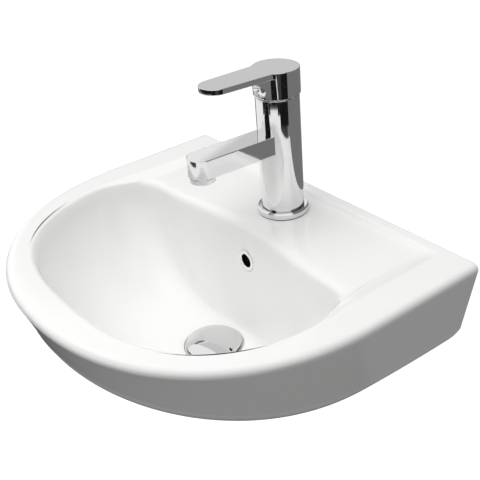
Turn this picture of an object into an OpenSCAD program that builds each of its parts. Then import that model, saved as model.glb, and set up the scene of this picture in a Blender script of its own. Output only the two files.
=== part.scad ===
// Wall-hung china basin with a single-lever mixer, an overflow ring and a click waste.
// Millimetres. X runs along the wall, +Y into the wall, +Z up.
// The origin is on the wall plane, halfway between the two fixing studs.

/* [Basin] */
// Width along the wall
basin_w = 450; // [420:1:480]
// Depth from the wall to the front of the rim
basin_d = 360; // [340:1:390]
// Fullness of the front in plan, 2 is an ellipse
front_n = 2.2; // [2:0.05:2.4]
// Depth of the rounded front, from the straight sides forward
front_d = 225; // [205:1:235]
// Rim to the lower edge of the skirt, at the wall
skirt_h = 93; // [88:0.5:98]
// Rim to the lower edge of the skirt, at the front
skirt_front_h = 52; // [47:0.5:57]
// How late the lower edge rises on its way forward, 1 is a straight line
skirt_rise = 2.4; // [2:0.1:2.8]
// How far the side skirt leans in, per mm of height
side_lean = 0.2; // [0.12:0.01:0.24]
// How far the front skirt leans in, per mm of height
front_lean = 0.39; // [0.3:0.01:0.44]
// Radius of the rim's outer edge
edge_r = 7; // [5:0.5:9]
// Radius of the skirt's lower edge
foot_r = 10; // [8:0.5:12]
// Thickness of the skirt and the bowl wall
china_t = 11; // [9:0.5:12]
// Thickness of the back wall
back_t = 13; // [11:0.5:15]
// Width of the rim at the front
rim_front = 36; // [32:1:40]
// Width of the rim at the sides
rim_side = 35; // [32:1:40]
// Width of the rim along the wall
rim_back = 12; // [9:1:15]
// Rim to the bowl's floor
bowl_h = 133.5; // [124:0.5:140]
// Fullness of the bowl's mouth in plan, 2 is an ellipse
mouth_n = 2.65; // [2.4:0.05:2.8]
// Fullness of the bowl sideways, 2 is round
bowl_p = 2.2; // [1.9:0.1:2.5]
// Fullness of the bowl downward, 2 is round
bowl_q = 1.5; // [1.3:0.1:1.8]
// Wall to the shelf's front edge, in the middle
shelf_d = 110; // [106:1:118]
// How much further forward the shelf's edge is toward its ends
shelf_bay = 11; // [0:1:14]
// Half the width of the flat shelf
shelf_half = 168; // [160:1:172]
// Rim down to the tap shelf
shelf_drop = 5; // [3:0.5:7]
// Thickness of the shelf under the tap
shelf_t = 16; // [12:1:18]
// Thickness of the wall behind the bowl, around the overflow channel
rear_t = 24; // [22:1:27]
// Thickness of the boss under the waste
boss_t = 20; // [18:0.5:23]

/* [Wall fixing] */
// Distance between the two studs
fixing_gap = 280; // [250:1:300]
// Rim down to the studs
fixing_drop = 70; // [62:1:76]
// Radius of the studs in the wall
stud_r = 5; // [4:0.5:6]
// How much less their radius is in front of the wall
stud_step = 0.1; // [0.05:0.05:0.2]
// Length of stud in the wall
stud_in = 60; // [50:1:80]
// Length of stud in front of the wall
stud_out = 36; // [34:1:44]
// Radius of the fixing holes in the china
fixing_hole_r = 8; // [7.5:0.25:9]
// Radius of the sleeve's flange
sleeve_r = 14; // [12:0.5:16]
// Thickness of the sleeve's flange
sleeve_t = 3; // [2:0.5:4]
// Thickness of the steel washer
washer_t = 2; // [1.5:0.5:2.5]
// Height of the stud nut
nut_t = 8; // [6:0.5:10]

/* [Mixer body] */
// Wall to the tap's axis
tap_back = 55; // [52:1:58]
// Radius of the tap hole in the china
tap_hole_r = 17.5; // [16.5:0.5:18]
// Radius of the mixer's body
body_r = 23.2; // [22.8:0.1:24]
// Height of the body above the shelf
body_h = 134.5; // [132:0.5:140]
// Radius of the base ring
ring_r = 28; // [27:0.5:31]
// Height of the base ring
ring_h = 6.6; // [5:0.2:8]
// Thickness of the gasket under the base ring
base_seal_t = 1; // [0.8:0.1:1.5]
// Dark groove between ring and body
groove_h = 1; // [0.5:0.1:1.5]
// Spout reach from the tap's axis to the aerator's axis
spout_reach = 101; // [90:1:110]
// Half the width of the spout
spout_half = 14.5; // [14:0.1:16]
// Height of the spout's side
spout_h = 20.6; // [20:0.2:23]
// Top of the body down to the spout's underside, at the tap's axis
spout_drop = 59.5; // [58.5:0.5:64.5]
// Rise of the spout toward its tip, degrees
spout_rise = 1.8; // [1:0.1:2.2]
// Radius of the aerator's housing
aerator_r = 12; // [11.5:0.1:12.4]
// How far the aerator's housing shows under the spout
aerator_out = 6; // [4:0.5:8]
// Radius of the housing's collar under the spout
collar_low_r = 13.2; // [12.6:0.1:13.6]
// Radius of the water ways
water_r = 3.5; // [3:0.1:3.6]
// Radius of the way along the spout
spout_bore_r = 5; // [4:0.1:5.2]
// Radius of the two inlet threads, M10 by 1
inlet_r = 4.5; // [4.4:0.05:4.6]
// Depth of the inlet threads
inlet_h = 12; // [10:0.5:14]
// Each inlet's distance from the middle
inlet_x = 8; // [7.8:0.1:8.4]
// Inlets behind the tap's axis
inlet_y = 4; // [3.5:0.1:4.5]

/* [Tap fixing] */
// Radius of the threaded rod
rod_r = 4; // [3:0.25:4]
// Rod in front of the tap's axis
rod_y = 13; // [12.8:0.1:13.2]
// Rod's length below the shelf's underside
rod_down = 48; // [40:1:70]
// Radius of the horseshoe washers
shoe_r = 26; // [23:0.5:28]
// Thickness of the rubber horseshoe
shoe_rubber_t = 3; // [2:0.5:4]
// Thickness of the steel horseshoe
shoe_plate_t = 2; // [1.5:0.5:3]
// Radius of the gap in the horseshoes
shoe_gap_r = 13; // [12.7:0.1:13.2]
// Length of the long brass nut
long_nut_h = 22; // [18:1:26]
// Width across flats of the long nut
long_nut_af = 12; // [11:0.5:12]

/* [Cartridge] */
// Top of the body down to the floor of the cartridge's seat
cart_depth = 37; // [36.3:0.1:37.5]
// Radius of the cartridge
cart_r = 17.3; // [17.2:0.05:17.5]
// Thickness of the cartridge's casing at its sides
cart_wall = 1.3; // [1.1:0.05:1.5]
// Thickness of the casing's roof
cart_roof = 3; // [2.5:0.1:3.5]
// Radius of the thread above the cartridge
nut_thread_r = 19.5; // [19.3:0.1:20]
// Height of the cartridge nut
cart_nut_h = 6; // [5:0.2:6.5]
// Thickness of the fixed ceramic disc
fixed_t = 4; // [3.5:0.1:4.5]
// Thickness of the moving ceramic disc
moving_t = 3.5; // [3.2:0.1:3.8]
// Radius of the moving disc and its carrier
moving_r = 10.5; // [10:0.1:10.8]
// Stem's pin above the ball that moves the disc
stem_arm = 9; // [8.6:0.1:9.4]
// Radius of the ball at the stem's foot
ball_r = 3; // [2.7:0.1:3.2]
// Radius of the turret's neck
turret_r = 11.5; // [11.2:0.1:11.8]
// Width of the stem, square
stem_w = 8; // [7:0.2:8.2]
// Radius of the stem's pin
pin_r = 1.5; // [1.2:0.1:1.6]

/* [Handle] */
// Radius of the handle's cap
cap_r = 24.7; // [24.6:0.1:25.6]
// Gap between the body's top and the cap's lower edge
cap_gap = 1.5; // [1.3:0.1:2]
// Height of the cap at the tap's axis
cap_h = 27.8; // [27.4:0.1:31]
// Tap's axis to the lever's tip
lever_len = 92.3; // [80:1:105]
// Half the width of the lever at its tip
lever_half = 16; // [13:0.5:17]
// Half the width of the lever at the cap
lever_root = 18; // [17:0.5:19]
// Thickness of the lever
lever_t = 6; // [4:0.5:7]
// Rise of the cap's top and the lever toward the tip, degrees
lever_rise = 1.7; // [0.5:0.1:2.5]
// Stem's pin below the cap's lower edge
pivot_drop = 10; // [9.8:0.1:10.4]
// Radius of the dome that the cap's inside clears
dome_r = 22.6; // [22.2:0.1:22.7]
// Radius of the scoop under the lever's root
scoop_r = 6.3; // [5.5:0.1:6.5]
// Radius of the index plug
plug_r = 3.2; // [2.9:0.1:3.6]
// Radius of the grub screw
grub_r = 2.5; // [2:0.25:2.5]

/* [Overflow] */
// Rim down to the middle of the overflow
over_drop = 48; // [44:1:54]
// Radius of the overflow hole in the china
over_hole_r = 11; // [10:0.5:11.5]
// Radius of the ring's flange
over_flange_r = 12.6; // [12.4:0.1:14]
// Radius of the ring's bore
over_bore_r = 7.8; // [7:0.1:8.5]
// Thickness of the ring's flange
over_flange_t = 2; // [1.5:0.1:2.5]
// Length of the ring's spigot in the china
over_spigot = 7; // [6:0.5:8]

/* [Waste] */
// Wall to the middle of the waste
waste_back = 165; // [160:1:172]
// Radius of the waste hole in the china
waste_hole_r = 23; // [22:0.5:24]
// Radius of the outlet's thread, 1 1/4 inch
tail_r = 20.95; // [20.5:0.05:21]
// Width of the relief groove that ends the trap's thread, under the backnut
relief_w = 1.4; // [1:0.1:2]
// Depth of the relief groove
relief_d = 0.5; // [0.3:0.1:0.8]
// Radius of the outlet's bore
tail_bore_r = 17.5; // [16.8:0.1:18]
// Outlet's length below the boss
tail_down = 50; // [44:1:58]
// Radius of the outlet's flange
flange_r = 31.5; // [30:0.5:32]
// Thickness of the outlet's flange
flange_t = 2.5; // [2:0.1:3]
// Thickness of the flat seal under the flange
top_seal_t = 1; // [0.8:0.1:1.4]
// Thickness of the tapered seal under the boss
low_seal_t = 4; // [3:0.5:6]
// Height of the backnut
backnut_h = 8; // [7:0.5:10]
// Width across flats of the backnut
backnut_af = 54; // [50:1:58]
// Radius of the waste cap
plug_cap_r = 31; // [29:0.5:31.5]
// Height of the waste cap's dome
plug_dome = 4.8; // [3:0.2:7]
// Thickness of the waste cap at its edge
plug_edge = 1.2; // [1:0.1:2]
// How far the waste cap lifts
plug_lift = 9; // [6:0.5:10]
// Radius of the click barrel
barrel_r = 7; // [6.6:0.2:8]
// Length of the click barrel
barrel_h = 31; // [30:0.5:34]
// Radius of the click spindle
spindle_r = 2.5; // [2:0.1:2.8]

/* [Clearances] */
// Between a thread and its hole, and between pieces pushed together
fit_gap = 0.05; // [0.02:0.01:0.1]
// Between pieces that slide or turn on each other
run_gap = 0.3; // [0.25:0.05:0.4]
// Between a pin and its hole
pin_gap = 0.05; // [0.03:0.01:0.08]

/* [Hidden] */
$fn = 72;
eps = 0.01;
cut = 1;

// Levels of the china, all from the rim's top
rim_z = fixing_drop;
shelf_z = rim_z - shelf_drop;
shelf_under = shelf_drop + shelf_t;
side_under = shelf_drop + china_t;
mouth_back = shelf_drop + 9;
mouth_front = 9;
seat_step = top_seal_t + flange_t - 0.5;
seat_depth = bowl_h + seat_step;
boss_depth = seat_depth + boss_t;
boss_r = waste_hole_r + 19;
seat_r = flange_r + 1.5;
floor_r = seat_r + 5;

// Plan of the china, y measured forward from the wall as a negative number
half_w = basin_w / 2;
side_y = -(basin_d - front_d);
mouth_half = half_w - rim_side - 3;
mouth_y = -(basin_d - rim_front - 3);
mouth_dent = mouth_half - shelf_half + 2;
waste_y = -waste_back;
dent_y = -100;
turn_y = -190;

// Counts of points along half a ring: back, corner, side, front
n_back = 6;
n_corner = 5;
n_side = 9;
n_front = 13;
n_half = n_back + n_corner + n_side + n_front + 1;
n_ring = 2 * n_half - 2;
n_rear = n_back + n_corner;

function mix(a, b, t) = a + (b - a) * t;

// A plan of a ring: [half width, back, front, corner size, dent of the sides, bay of the back, fullness]
function plan(a, yb, yf, rc, dent, bay, n) = [a, yb, yf, rc, dent, bay, n];

// 0 beside the shelf, 1 where the sides have left it
function past_shelf(y) = (1 - cos(180 * min(1, max(0, (y - dent_y) / (turn_y - dent_y))))) / 2;

function side_x(p, y) =
    p[0] * pow(1 - pow(max(0, (side_y - y) / (side_y - p[2])), p[6]), 1 / p[6])
    - p[4] * (1 - past_shelf(y));

function side_slope(p, y) = (side_x(p, y - 1) - side_x(p, y + 1)) / 2;

// Point k of half a plan: back line, curved corner, side, rounded front
function plan_point(p, k) =
    let(yk = p[1] - p[5] - p[3], xc = side_x(p, yk) - side_slope(p, yk) * p[3])
    k < n_back
    ? let(x = (xc - p[3]) * k / n_back)
      [x, p[1] - p[5] * (1 - cos(180 * k / n_back)) / 2]
    : k < n_rear
    ? let(t = (k - n_back) / n_corner)
      [
          (1 - t) * (1 - t) * (xc - p[3]) + 2 * t * (1 - t) * xc + t * t * side_x(p, yk),
          mix(p[1] - p[5], yk, t * t)
      ]
    : k < n_rear + n_side
    ? let(y = mix(yk, turn_y, (k - n_rear) / n_side)) [side_x(p, y), y]
    : let(
          w0 = asin(pow((side_y - turn_y) / (side_y - p[2]), p[6] / 2)),
          w = mix(w0, 90, (k - n_rear - n_side) / n_front)
      )
      [p[0] * pow(max(cos(w), 0), 2 / p[6]), side_y + (p[2] - side_y) * pow(sin(w), 2 / p[6])];

// Angle of point k when the ring has become a circle
function circle_angle(k) =
    k < n_back
    ? mix(90, 58, k / n_back)
    : k < n_rear
    ? mix(58, 40, (k - n_back) / n_corner)
    : k < n_rear + n_side
    ? mix(40, -8, (k - n_rear) / n_side)
    : mix(-8, -90, (k - n_rear - n_side) / n_front);

function circle_point(k, r) = [r * cos(circle_angle(k)), waste_y + r * sin(circle_angle(k))];

// A ring: half of it computed and the other half mirrored
function whole_ring(half) =
    concat(half, [for (k = [n_half - 2:-1:1]) [-half[k][0], half[k][1], half[k][2]]]);

// A ring on a plan, at one depth beside the shelf and at another past it
function plan_ring(p, shelf_depth, front_depth) = whole_ring([
    for (k = [0:n_half - 1])
        let(q = plan_point(p, k))
        [q[0], q[1], rim_z - mix(shelf_depth, front_depth, past_shelf(q[1]))]
]);

function circle_ring(r, depth) = whole_ring([
    for (k = [0:n_half - 1]) let(q = circle_point(k, r)) [q[0], q[1], rim_z - depth]
]);

// A ring of the bowl, between a circle of radius r and a plan, by its share of the plan
function bowl_ring(share, fall, r, p, shelf_depth, front_depth, floor_depth) = whole_ring([
    for (k = [0:n_half - 1])
        let(c = circle_point(k, r), q = plan_point(p, k), f = past_shelf(q[1]))
        [
            mix(c[0], q[0], share),
            mix(c[1], q[1], share),
            rim_z - mix(mix(shelf_depth, front_depth, f), floor_depth, fall)
        ]
]);

// The bowl's curve: how wide it is when it has fallen by this share of its depth
function bowl_share(fall) = pow(1 - pow(fall, bowl_q), 1 / bowl_p);

bowl_steps = [0.995, 0.97, 0.92, 0.83, 0.7, 0.55, 0.38, 0.2, 0.08, 0];
mouth_plan = plan(mouth_half, -shelf_d, mouth_y, 24, mouth_dent, shelf_bay, mouth_n);

bowl_inside = [
    for (f = bowl_steps) bowl_ring(bowl_share(f), f, floor_r, mouth_plan, mouth_back, mouth_front, bowl_h)
];

// The round over the mouth, the flat shelf and the small slope up to the rim
function shelf_ring(out, back, rc, dent, bay, shelf_depth, front_depth) = plan_ring(
    plan(mouth_half + out, -back, mouth_y - out, rc, dent, bay, mouth_n), shelf_depth, front_depth);

shelf_rings = [
    shelf_ring(0.9, shelf_d - 1, 24, mouth_dent + 0.3, shelf_bay, shelf_drop + 5.6, 5.6),
    shelf_ring(1.6, shelf_d - 3.5, 23, mouth_dent + 0.5, shelf_bay, shelf_drop + 2.3, 3.6),
    shelf_ring(2.1, shelf_d - 7.5, 22, mouth_dent + 0.6, shelf_bay * 0.8, shelf_drop + 0.5, 2.6),
    shelf_ring(2.4, shelf_d - 12, 20, mouth_dent + 0.4, shelf_bay * 0.5, shelf_drop, 2.1),
    shelf_ring(2.8, rim_back + 32, 15, mouth_dent + 0.3, 0, shelf_drop, 1.7),
    shelf_ring(3.2, rim_back + 11, 10, mouth_dent, 0, shelf_drop, 1.2),
    shelf_ring(3.8, rim_back + 6, 11, mouth_dent - 4.5, 0, shelf_drop * 0.78, 0.7),
    shelf_ring(4.6, rim_back + 2.5, 12, mouth_dent - 12, 0, shelf_drop * 0.25, 0.25),
    shelf_ring(6, rim_back, 12, mouth_dent - 15, 0, 0, 0)
];

// Outer edge, leaning skirt, rounded foot, lip, and the inside of the skirt
side_run = side_lean * (skirt_h - foot_r - edge_r);
front_run = front_lean * (skirt_front_h - foot_r - edge_r);
lip = 3;
foot_in = foot_r + lip;

// Rim to the lower edge of the skirt at y: lowest at the wall, higher toward the front
function skirt_low(y) = mix(skirt_h, skirt_front_h, pow(min(1, max(0, -y / basin_d)), skirt_rise));

// A ring of the skirt, at one depth plus a share of the skirt's height there
function skirt_ring(side_in, front_in, back_in, rc, depth, share) =
    let(outline = plan(half_w - side_in, -back_in, -basin_d + front_in, rc, 0, 0, front_n))
    [for (q = plan_ring(outline, depth, depth)) [q[0], q[1], q[2] - share * skirt_low(q[1])]];

skirt_outside = concat(
    [
        for (w = [0, 30, 60, 90])
            let(in = edge_r * (1 - sin(w)))
            skirt_ring(in, in, 2.5 * (1 - sin(w)), 5, edge_r * (1 - cos(w)), 0)
    ],
    [
        for (t = [0.3, 0.65, 1])
            skirt_ring(side_run * t, front_run * t, 0, 5, edge_r * (1 - t) - foot_r * t, t)
    ],
    [
        for (w = [25, 50, 70, 90])
            let(in = foot_r * (1 - cos(w)))
            skirt_ring(side_run + in, front_run + in, 4 * (1 - cos(w)), 5, -foot_r * (1 - sin(w)), 1)
    ]
);

skirt_inside = [
    skirt_ring(side_run + foot_in, front_run + foot_in, back_t - 2, 6, 0, 1),
    skirt_ring(side_run + foot_in + 1.5, front_run + foot_in + 1.5, back_t, 8, -3, 1),
    skirt_ring(side_run + china_t, front_run + china_t, back_t, 9, -foot_r - 4, 1),
    skirt_ring(china_t + 2.5, china_t + 6, back_t, 8, side_under + 6, 0),
    plan_ring(plan(half_w - china_t - 4, -back_t - 2, -basin_d + china_t + 8, 8, 0, 0, front_n),
              shelf_under, side_under)
];

// The bowl's outside, from the ceiling under the rim down to the boss
out_back = -shelf_d + rear_t;
out_plan = plan(mouth_half + china_t, out_back, mouth_y - china_t + 2, 26, mouth_dent, 0, mouth_n);

bowl_outside = concat(
    [
        for (i = [len(bowl_steps) - 1:-1:0])
            let(f = bowl_steps[i])
            bowl_ring(bowl_share(f), f, boss_r, out_plan, shelf_under, side_under, bowl_h + china_t)
    ],
    [circle_ring(boss_r, boss_depth)]
);

china_rings = concat(
    [
        circle_ring(seat_r, seat_depth),
        circle_ring(seat_r + 0.6, bowl_h + 0.4),
        circle_ring(seat_r + 1.6, bowl_h)
    ],
    bowl_inside,
    shelf_rings,
    skirt_outside,
    skirt_inside,
    bowl_outside
);
n_rings = len(china_rings);

china_points = concat(
    [[0, waste_y, rim_z - seat_depth]],
    [for (r = china_rings) each r],
    [[0, waste_y, rim_z - boss_depth]]
);
last_point = n_ring * n_rings + 1;

function ring_index(i, k) = 1 + i * n_ring + k % n_ring;

china_faces = concat(
    [for (k = [0:n_ring - 1]) [0, ring_index(0, k), ring_index(0, k + 1)]],
    [
        for (i = [0:n_rings - 2])
            for (k = [0:n_ring - 1])
                each [
                    [ring_index(i, k), ring_index(i + 1, k), ring_index(i + 1, k + 1)],
                    [ring_index(i, k), ring_index(i + 1, k + 1), ring_index(i, k + 1)]
                ]
    ],
    [for (k = [0:n_ring - 1]) [last_point, ring_index(n_rings - 1, k + 1), ring_index(n_rings - 1, k)]]
);

// The overflow: its seat on the bowl's back wall, and the channel behind it
over_fall = (over_drop - mouth_back) / (bowl_h - mouth_back);
over_y = waste_y + mix(floor_r, waste_back - shelf_d, bowl_share(over_fall)) + 0.8;
over_z = rim_z - over_drop;
channel_d = 9;
channel_w = 24;
channel_back = out_back - 7;
channel_z = rim_z - seat_depth - 5.5;
channel_h = 8;
hump_w = 44;
hump_back = out_back + 2;

// Rotates children that are drawn along +Z to run along -Y
module forward() {
    rotate([90, 0, 0]) children();
}

module ring(r_out, r_in, h) {
    difference() {
        cylinder(r = r_out, h = h);
        translate([0, 0, -cut]) cylinder(r = r_in, h = h + 2 * cut);
    }
}

module hexagon(af, h) {
    cylinder(r = af / sqrt(3), h = h, $fn = 6);
}

module each_fixing() {
    for (x = [-fixing_gap / 2, fixing_gap / 2]) translate([x, 0, 0]) children();
}

module overflow_hump() {
    bottom = rim_z - boss_depth;
    translate([-hump_w / 2, 0, 0]) rotate([90, 0, 90]) linear_extrude(height = hump_w)
        polygon([
            [out_back - 12, rim_z - shelf_under - 12],
            [hump_back, rim_z - shelf_under - 34],
            [hump_back, bottom + 9],
            [hump_back - 9, bottom],
            [waste_y + waste_hole_r - 8, bottom],
            [waste_y + waste_hole_r - 8, rim_z - seat_depth - 3],
            [out_back - 28, rim_z - bowl_h - 5],
            [out_back - 16, rim_z - bowl_h * 0.7]
        ]);
}

module overflow_channel() {
    translate([-channel_w / 2, channel_back - channel_d, channel_z - channel_h])
        cube([channel_w, channel_d, over_z + over_hole_r - channel_z + channel_h]);
    translate([-channel_w / 2, waste_y, channel_z - channel_h])
        cube([channel_w, channel_back - waste_y, channel_h]);
}

module basin() {
    color("white") difference() {
        union() {
            polyhedron(points = china_points, faces = china_faces, convexity = 10);
            overflow_hump();
        }
        translate([0, -tap_back, shelf_z - shelf_t - 20]) cylinder(r = tap_hole_r, h = shelf_t + 40);
        translate([0, waste_y, rim_z - boss_depth - 20]) cylinder(r = waste_hole_r, h = boss_t + 40);
        each_fixing() translate([0, cut, 0]) forward() cylinder(r = fixing_hole_r, h = back_t + 10);
        translate([0, over_y, over_z]) forward() cylinder(r = over_flange_r + 0.3, h = 20);
        translate([0, channel_back, over_z]) forward() cylinder(r = over_hole_r, h = 30);
        overflow_channel();
    }
}

// Wall fixing
module wall_studs() {
    color("lightgray") each_fixing() {
        translate([0, stud_in, 0]) forward() cylinder(r = stud_r, h = stud_in);
        translate([0, cut, 0]) forward() cylinder(r = stud_r - stud_step, h = stud_out + cut);
    }
}

module stud_sleeves() {
    color("whitesmoke") each_fixing() translate([0, -back_t - sleeve_t, 0]) rotate([-90, 0, 0]) difference() {
        union() {
            cylinder(r = sleeve_r, h = sleeve_t);
            cylinder(r = fixing_hole_r - fit_gap, h = sleeve_t + back_t - 1);
        }
        translate([0, 0, -cut]) cylinder(r = stud_r - stud_step + fit_gap, h = sleeve_t + back_t + 2 * cut);
    }
}

module stud_washers() {
    color("silver") each_fixing() translate([0, -back_t - sleeve_t, 0]) forward()
        ring(sleeve_r - 1, stud_r + 0.4, washer_t);
}

module stud_nuts() {
    color("silver") each_fixing() translate([0, -back_t - sleeve_t - washer_t, 0]) forward() difference() {
        hexagon(stud_r * 3.4, nut_t);
        translate([0, 0, -cut]) cylinder(r = stud_r - stud_step + fit_gap, h = nut_t + 2 * cut);
    }
}

// Overflow
module overflow_ring() {
    color("silver") translate([0, over_y, over_z]) difference() {
        union() {
            forward() cylinder(r = over_flange_r, h = over_flange_t);
            rotate([-90, 0, 0]) cylinder(r = over_hole_r - 2 * fit_gap, h = over_spigot);
        }
        translate([0, over_spigot + cut, 0]) forward()
            cylinder(r = over_bore_r, h = over_spigot + over_flange_t + 2 * cut);
    }
}

// Waste, drawn from the china's seat: z 0 is the seat
seat_z = rim_z - seat_depth;
waste_top = top_seal_t + flange_t;
bar_h = 6;
bar_z = waste_top - 2 - barrel_h - bar_h;
slot_h = channel_h + 3;
cap_low = waste_top + 1.2;
collar_r = barrel_r - 2.1;
spring_floor = bar_z + bar_h + 2;
collar_h = 2.5;
collar_z = waste_top - 4.3 - plug_lift - collar_h;
spring_wire = 0.9;
spring_turns = 6;

module at_waste() {
    translate([0, waste_y, seat_z]) children();
}

module waste_body() {
    color("silver") at_waste() difference() {
        union() {
            translate([0, 0, top_seal_t]) cylinder(r = flange_r, h = flange_t);
            translate([0, 0, -boss_t - tail_down])
                cylinder(r = tail_r, h = boss_t + tail_down + top_seal_t + eps);
        }
        difference() {
            translate([0, 0, -boss_t - tail_down - cut])
                cylinder(r = tail_bore_r, h = boss_t + tail_down + waste_top + 2 * cut);
            translate([-tail_r, -4, bar_z]) cube([2 * tail_r, 8, bar_h]);
            translate([0, 0, bar_z]) cylinder(r = barrel_r, h = bar_h);
        }
        translate([0, 0, waste_top - 4])
            cylinder(r1 = tail_bore_r - eps, r2 = flange_r - 9, h = 4 + eps);
        translate([0, 0, bar_z - cut]) cylinder(r = 4 + fit_gap, h = bar_h + 2 * cut);
        translate([-channel_w / 2, -tail_r - 5, -5.5 - channel_h - 1.5])
            cube([channel_w, 2 * tail_r + 10, slot_h]);
        translate([0, 0, -boss_t - low_seal_t - backnut_h - relief_w])
            ring(tail_r + 1, tail_r - relief_d, relief_w);
    }
}

module waste_top_seal() {
    color("dimgray") at_waste() ring(flange_r - 0.5, tail_r + 0.3, top_seal_t);
}

module waste_bottom_seal() {
    color("dimgray") at_waste() translate([0, 0, -boss_t - low_seal_t]) difference() {
        cylinder(r1 = waste_hole_r + 6, r2 = waste_hole_r + 3, h = low_seal_t);
        translate([0, 0, -cut]) cylinder(r = tail_r + fit_gap, h = low_seal_t + 2 * cut);
    }
}

module waste_backnut() {
    color("goldenrod") at_waste() translate([0, 0, -boss_t - low_seal_t - backnut_h]) difference() {
        union() {
            hexagon(backnut_af, backnut_h);
            translate([0, 0, backnut_h - 2]) cylinder(r = backnut_af / 2 + 1, h = 2);
        }
        translate([0, 0, -cut]) cylinder(r = tail_r + fit_gap, h = backnut_h + 2 * cut);
    }
}

module waste_cap() {
    dome_sphere = (plug_cap_r * plug_cap_r + plug_dome * plug_dome) / (2 * plug_dome);
    color("silver") at_waste() translate([0, 0, cap_low]) difference() {
        union() {
            cylinder(r = plug_cap_r, h = plug_edge);
            intersection() {
                translate([0, 0, plug_edge - eps]) cylinder(r = plug_cap_r, h = plug_dome + 1);
                translate([0, 0, plug_edge + plug_dome - dome_sphere]) sphere(r = dome_sphere, $fn = 144);
            }
        }
        translate([0, 0, -cut]) cylinder(r = spindle_r + fit_gap, h = cut + 3.5);
    }
}

module cap_seal() {
    color("dimgray") at_waste() translate([0, 0, waste_top + 0.2])
        ring(plug_cap_r - 1.2, plug_cap_r - 3.4, cap_low - waste_top - 0.2);
}

module click_housing() {
    color("gainsboro") at_waste() translate([0, 0, bar_z + bar_h]) difference() {
        union() {
            cylinder(r = barrel_r, h = barrel_h);
            translate([0, 0, -bar_h - 5]) cylinder(r = 4, h = bar_h + 5 + eps);
        }
        translate([0, 0, 2]) cylinder(r = collar_r + run_gap, h = barrel_h - 3.5);
        cylinder(r = spindle_r + run_gap, h = barrel_h + cut);
    }
}

module click_spindle() {
    color("gainsboro") at_waste() union() {
        translate([0, 0, collar_z]) cylinder(r = spindle_r, h = cap_low + 3.5 - collar_z);
        translate([0, 0, collar_z]) cylinder(r = collar_r, h = collar_h);
    }
}

// A helix of round wire between the barrel's floor and the spindle's collar
spring_mean = collar_r - spring_wire / 2;
spring_len = collar_z - spring_floor - spring_wire;
spring_rings = 60;
spring_sides = 6;

module click_spring() {
    rings = [
        for (i = [0:spring_rings])
            let(w = 360 * spring_turns * i / spring_rings)
            for (s = [0:spring_sides - 1])
                let(q = 360 * s / spring_sides, d = spring_mean + spring_wire / 2 * cos(q))
                [d * cos(w), d * sin(w), spring_len * i / spring_rings + spring_wire / 2 * sin(q)]
    ];
    sides = [
        for (i = [0:spring_rings - 1])
            for (s = [0:spring_sides - 1])
                let(a = i * spring_sides + s, b = i * spring_sides + (s + 1) % spring_sides)
                each [[a, b, b + spring_sides], [a, b + spring_sides, a + spring_sides]]
    ];
    last = spring_rings * spring_sides;
    ends = [for (s = [1:spring_sides - 2]) each [[0, s + 1, s], [last, last + s, last + s + 1]]];
    color("silver") at_waste() translate([0, 0, spring_floor + spring_wire / 2])
        polyhedron(points = rings, faces = concat(sides, ends), convexity = 6);
}

// Mixer, drawn from the shelf: z 0 is the shelf, the tap's axis is x 0, y 0
ring_top = base_seal_t + ring_h;
spout_low = body_h - spout_drop;
seat_h = body_h - cart_depth;
spigot_r = ring_r - 8;
pivot_z = body_h + cap_gap - pivot_drop;
ball_z = pivot_z - stem_arm;
bore_z = spout_low + spout_h / 2 + 2.7;

module at_tap() {
    translate([0, -tap_back, shelf_z]) children();
}

module each_inlet() {
    for (x = [-inlet_x, inlet_x]) translate([x, inlet_y, 0]) children();
}

outlet_y = -9;
bore_start = outlet_y + water_r + 1.5;

// The spout's solid: its plan cut from its side view
module spout() {
    intersection() {
        rotate([-spout_rise, 0, 0]) translate([-2 * spout_half, -2 * spout_reach, spout_low])
            cube([4 * spout_half, 2 * spout_reach, spout_h]);
        linear_extrude(height = 2 * body_h) union() {
            translate([-spout_half, -spout_reach]) square([2 * spout_half, spout_reach]);
            translate([0, -spout_reach]) circle(r = spout_half);
        }
    }
}

aerator_low = spout_low + spout_reach * tan(spout_rise) - aerator_out;
aerator_top = aerator_low + aerator_out + 5;

module tap_body() {
    color("silver") at_tap() difference() {
        union() {
            translate([0, 0, base_seal_t + 0.2]) cylinder(r = spigot_r - fit_gap, h = ring_top);
            translate([0, 0, ring_top]) cylinder(r = body_r - 2, h = groove_h + eps);
            translate([0, 0, ring_top + groove_h]) cylinder(r = body_r, h = body_h - ring_top - groove_h);
            spout();
        }
        translate([0, 0, seat_h]) cylinder(r = cart_r + 0.15, h = body_h);
        translate([0, 0, nut_floor]) cylinder(r = nut_thread_r, h = body_h);
        each_inlet() cylinder(r = inlet_r, h = base_seal_t + 0.2 + inlet_h);
        each_inlet() cylinder(r = water_r, h = body_h);
        translate([0, -rod_y, 0]) cylinder(r = rod_r + fit_gap, h = base_seal_t + 0.2 + inlet_h);
        translate([0, outlet_y, bore_z]) cylinder(r = water_r, h = body_h);
        translate([0, bore_start, bore_z]) forward() cylinder(r = spout_bore_r, h = spout_reach + bore_start);
        translate([0, -spout_reach, 0]) cylinder(r = aerator_r + fit_gap, h = aerator_top + 1.5);
        translate([0, -spout_reach, 0]) cylinder(r = aerator_r - 3, h = bore_z + spout_bore_r - 1);
        each_peg() translate([0, 0, seat_h - 3]) cylinder(r = peg_r + fit_gap, h = 4);
    }
}

module tap_base_ring() {
    color("silver") at_tap() translate([0, 0, base_seal_t]) difference() {
        union() {
            cylinder(r = ring_r, h = ring_h - 1.5);
            translate([0, 0, ring_h - 1.5 - eps]) cylinder(r1 = ring_r, r2 = ring_r - 1.2, h = 1.5 + eps);
        }
        translate([0, 0, -cut]) cylinder(r = spigot_r, h = ring_h + 2 * cut);
    }
}

module tap_base_seal() {
    color("dimgray") at_tap() ring(ring_r - 0.6, spigot_r + 1, base_seal_t);
}

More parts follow.
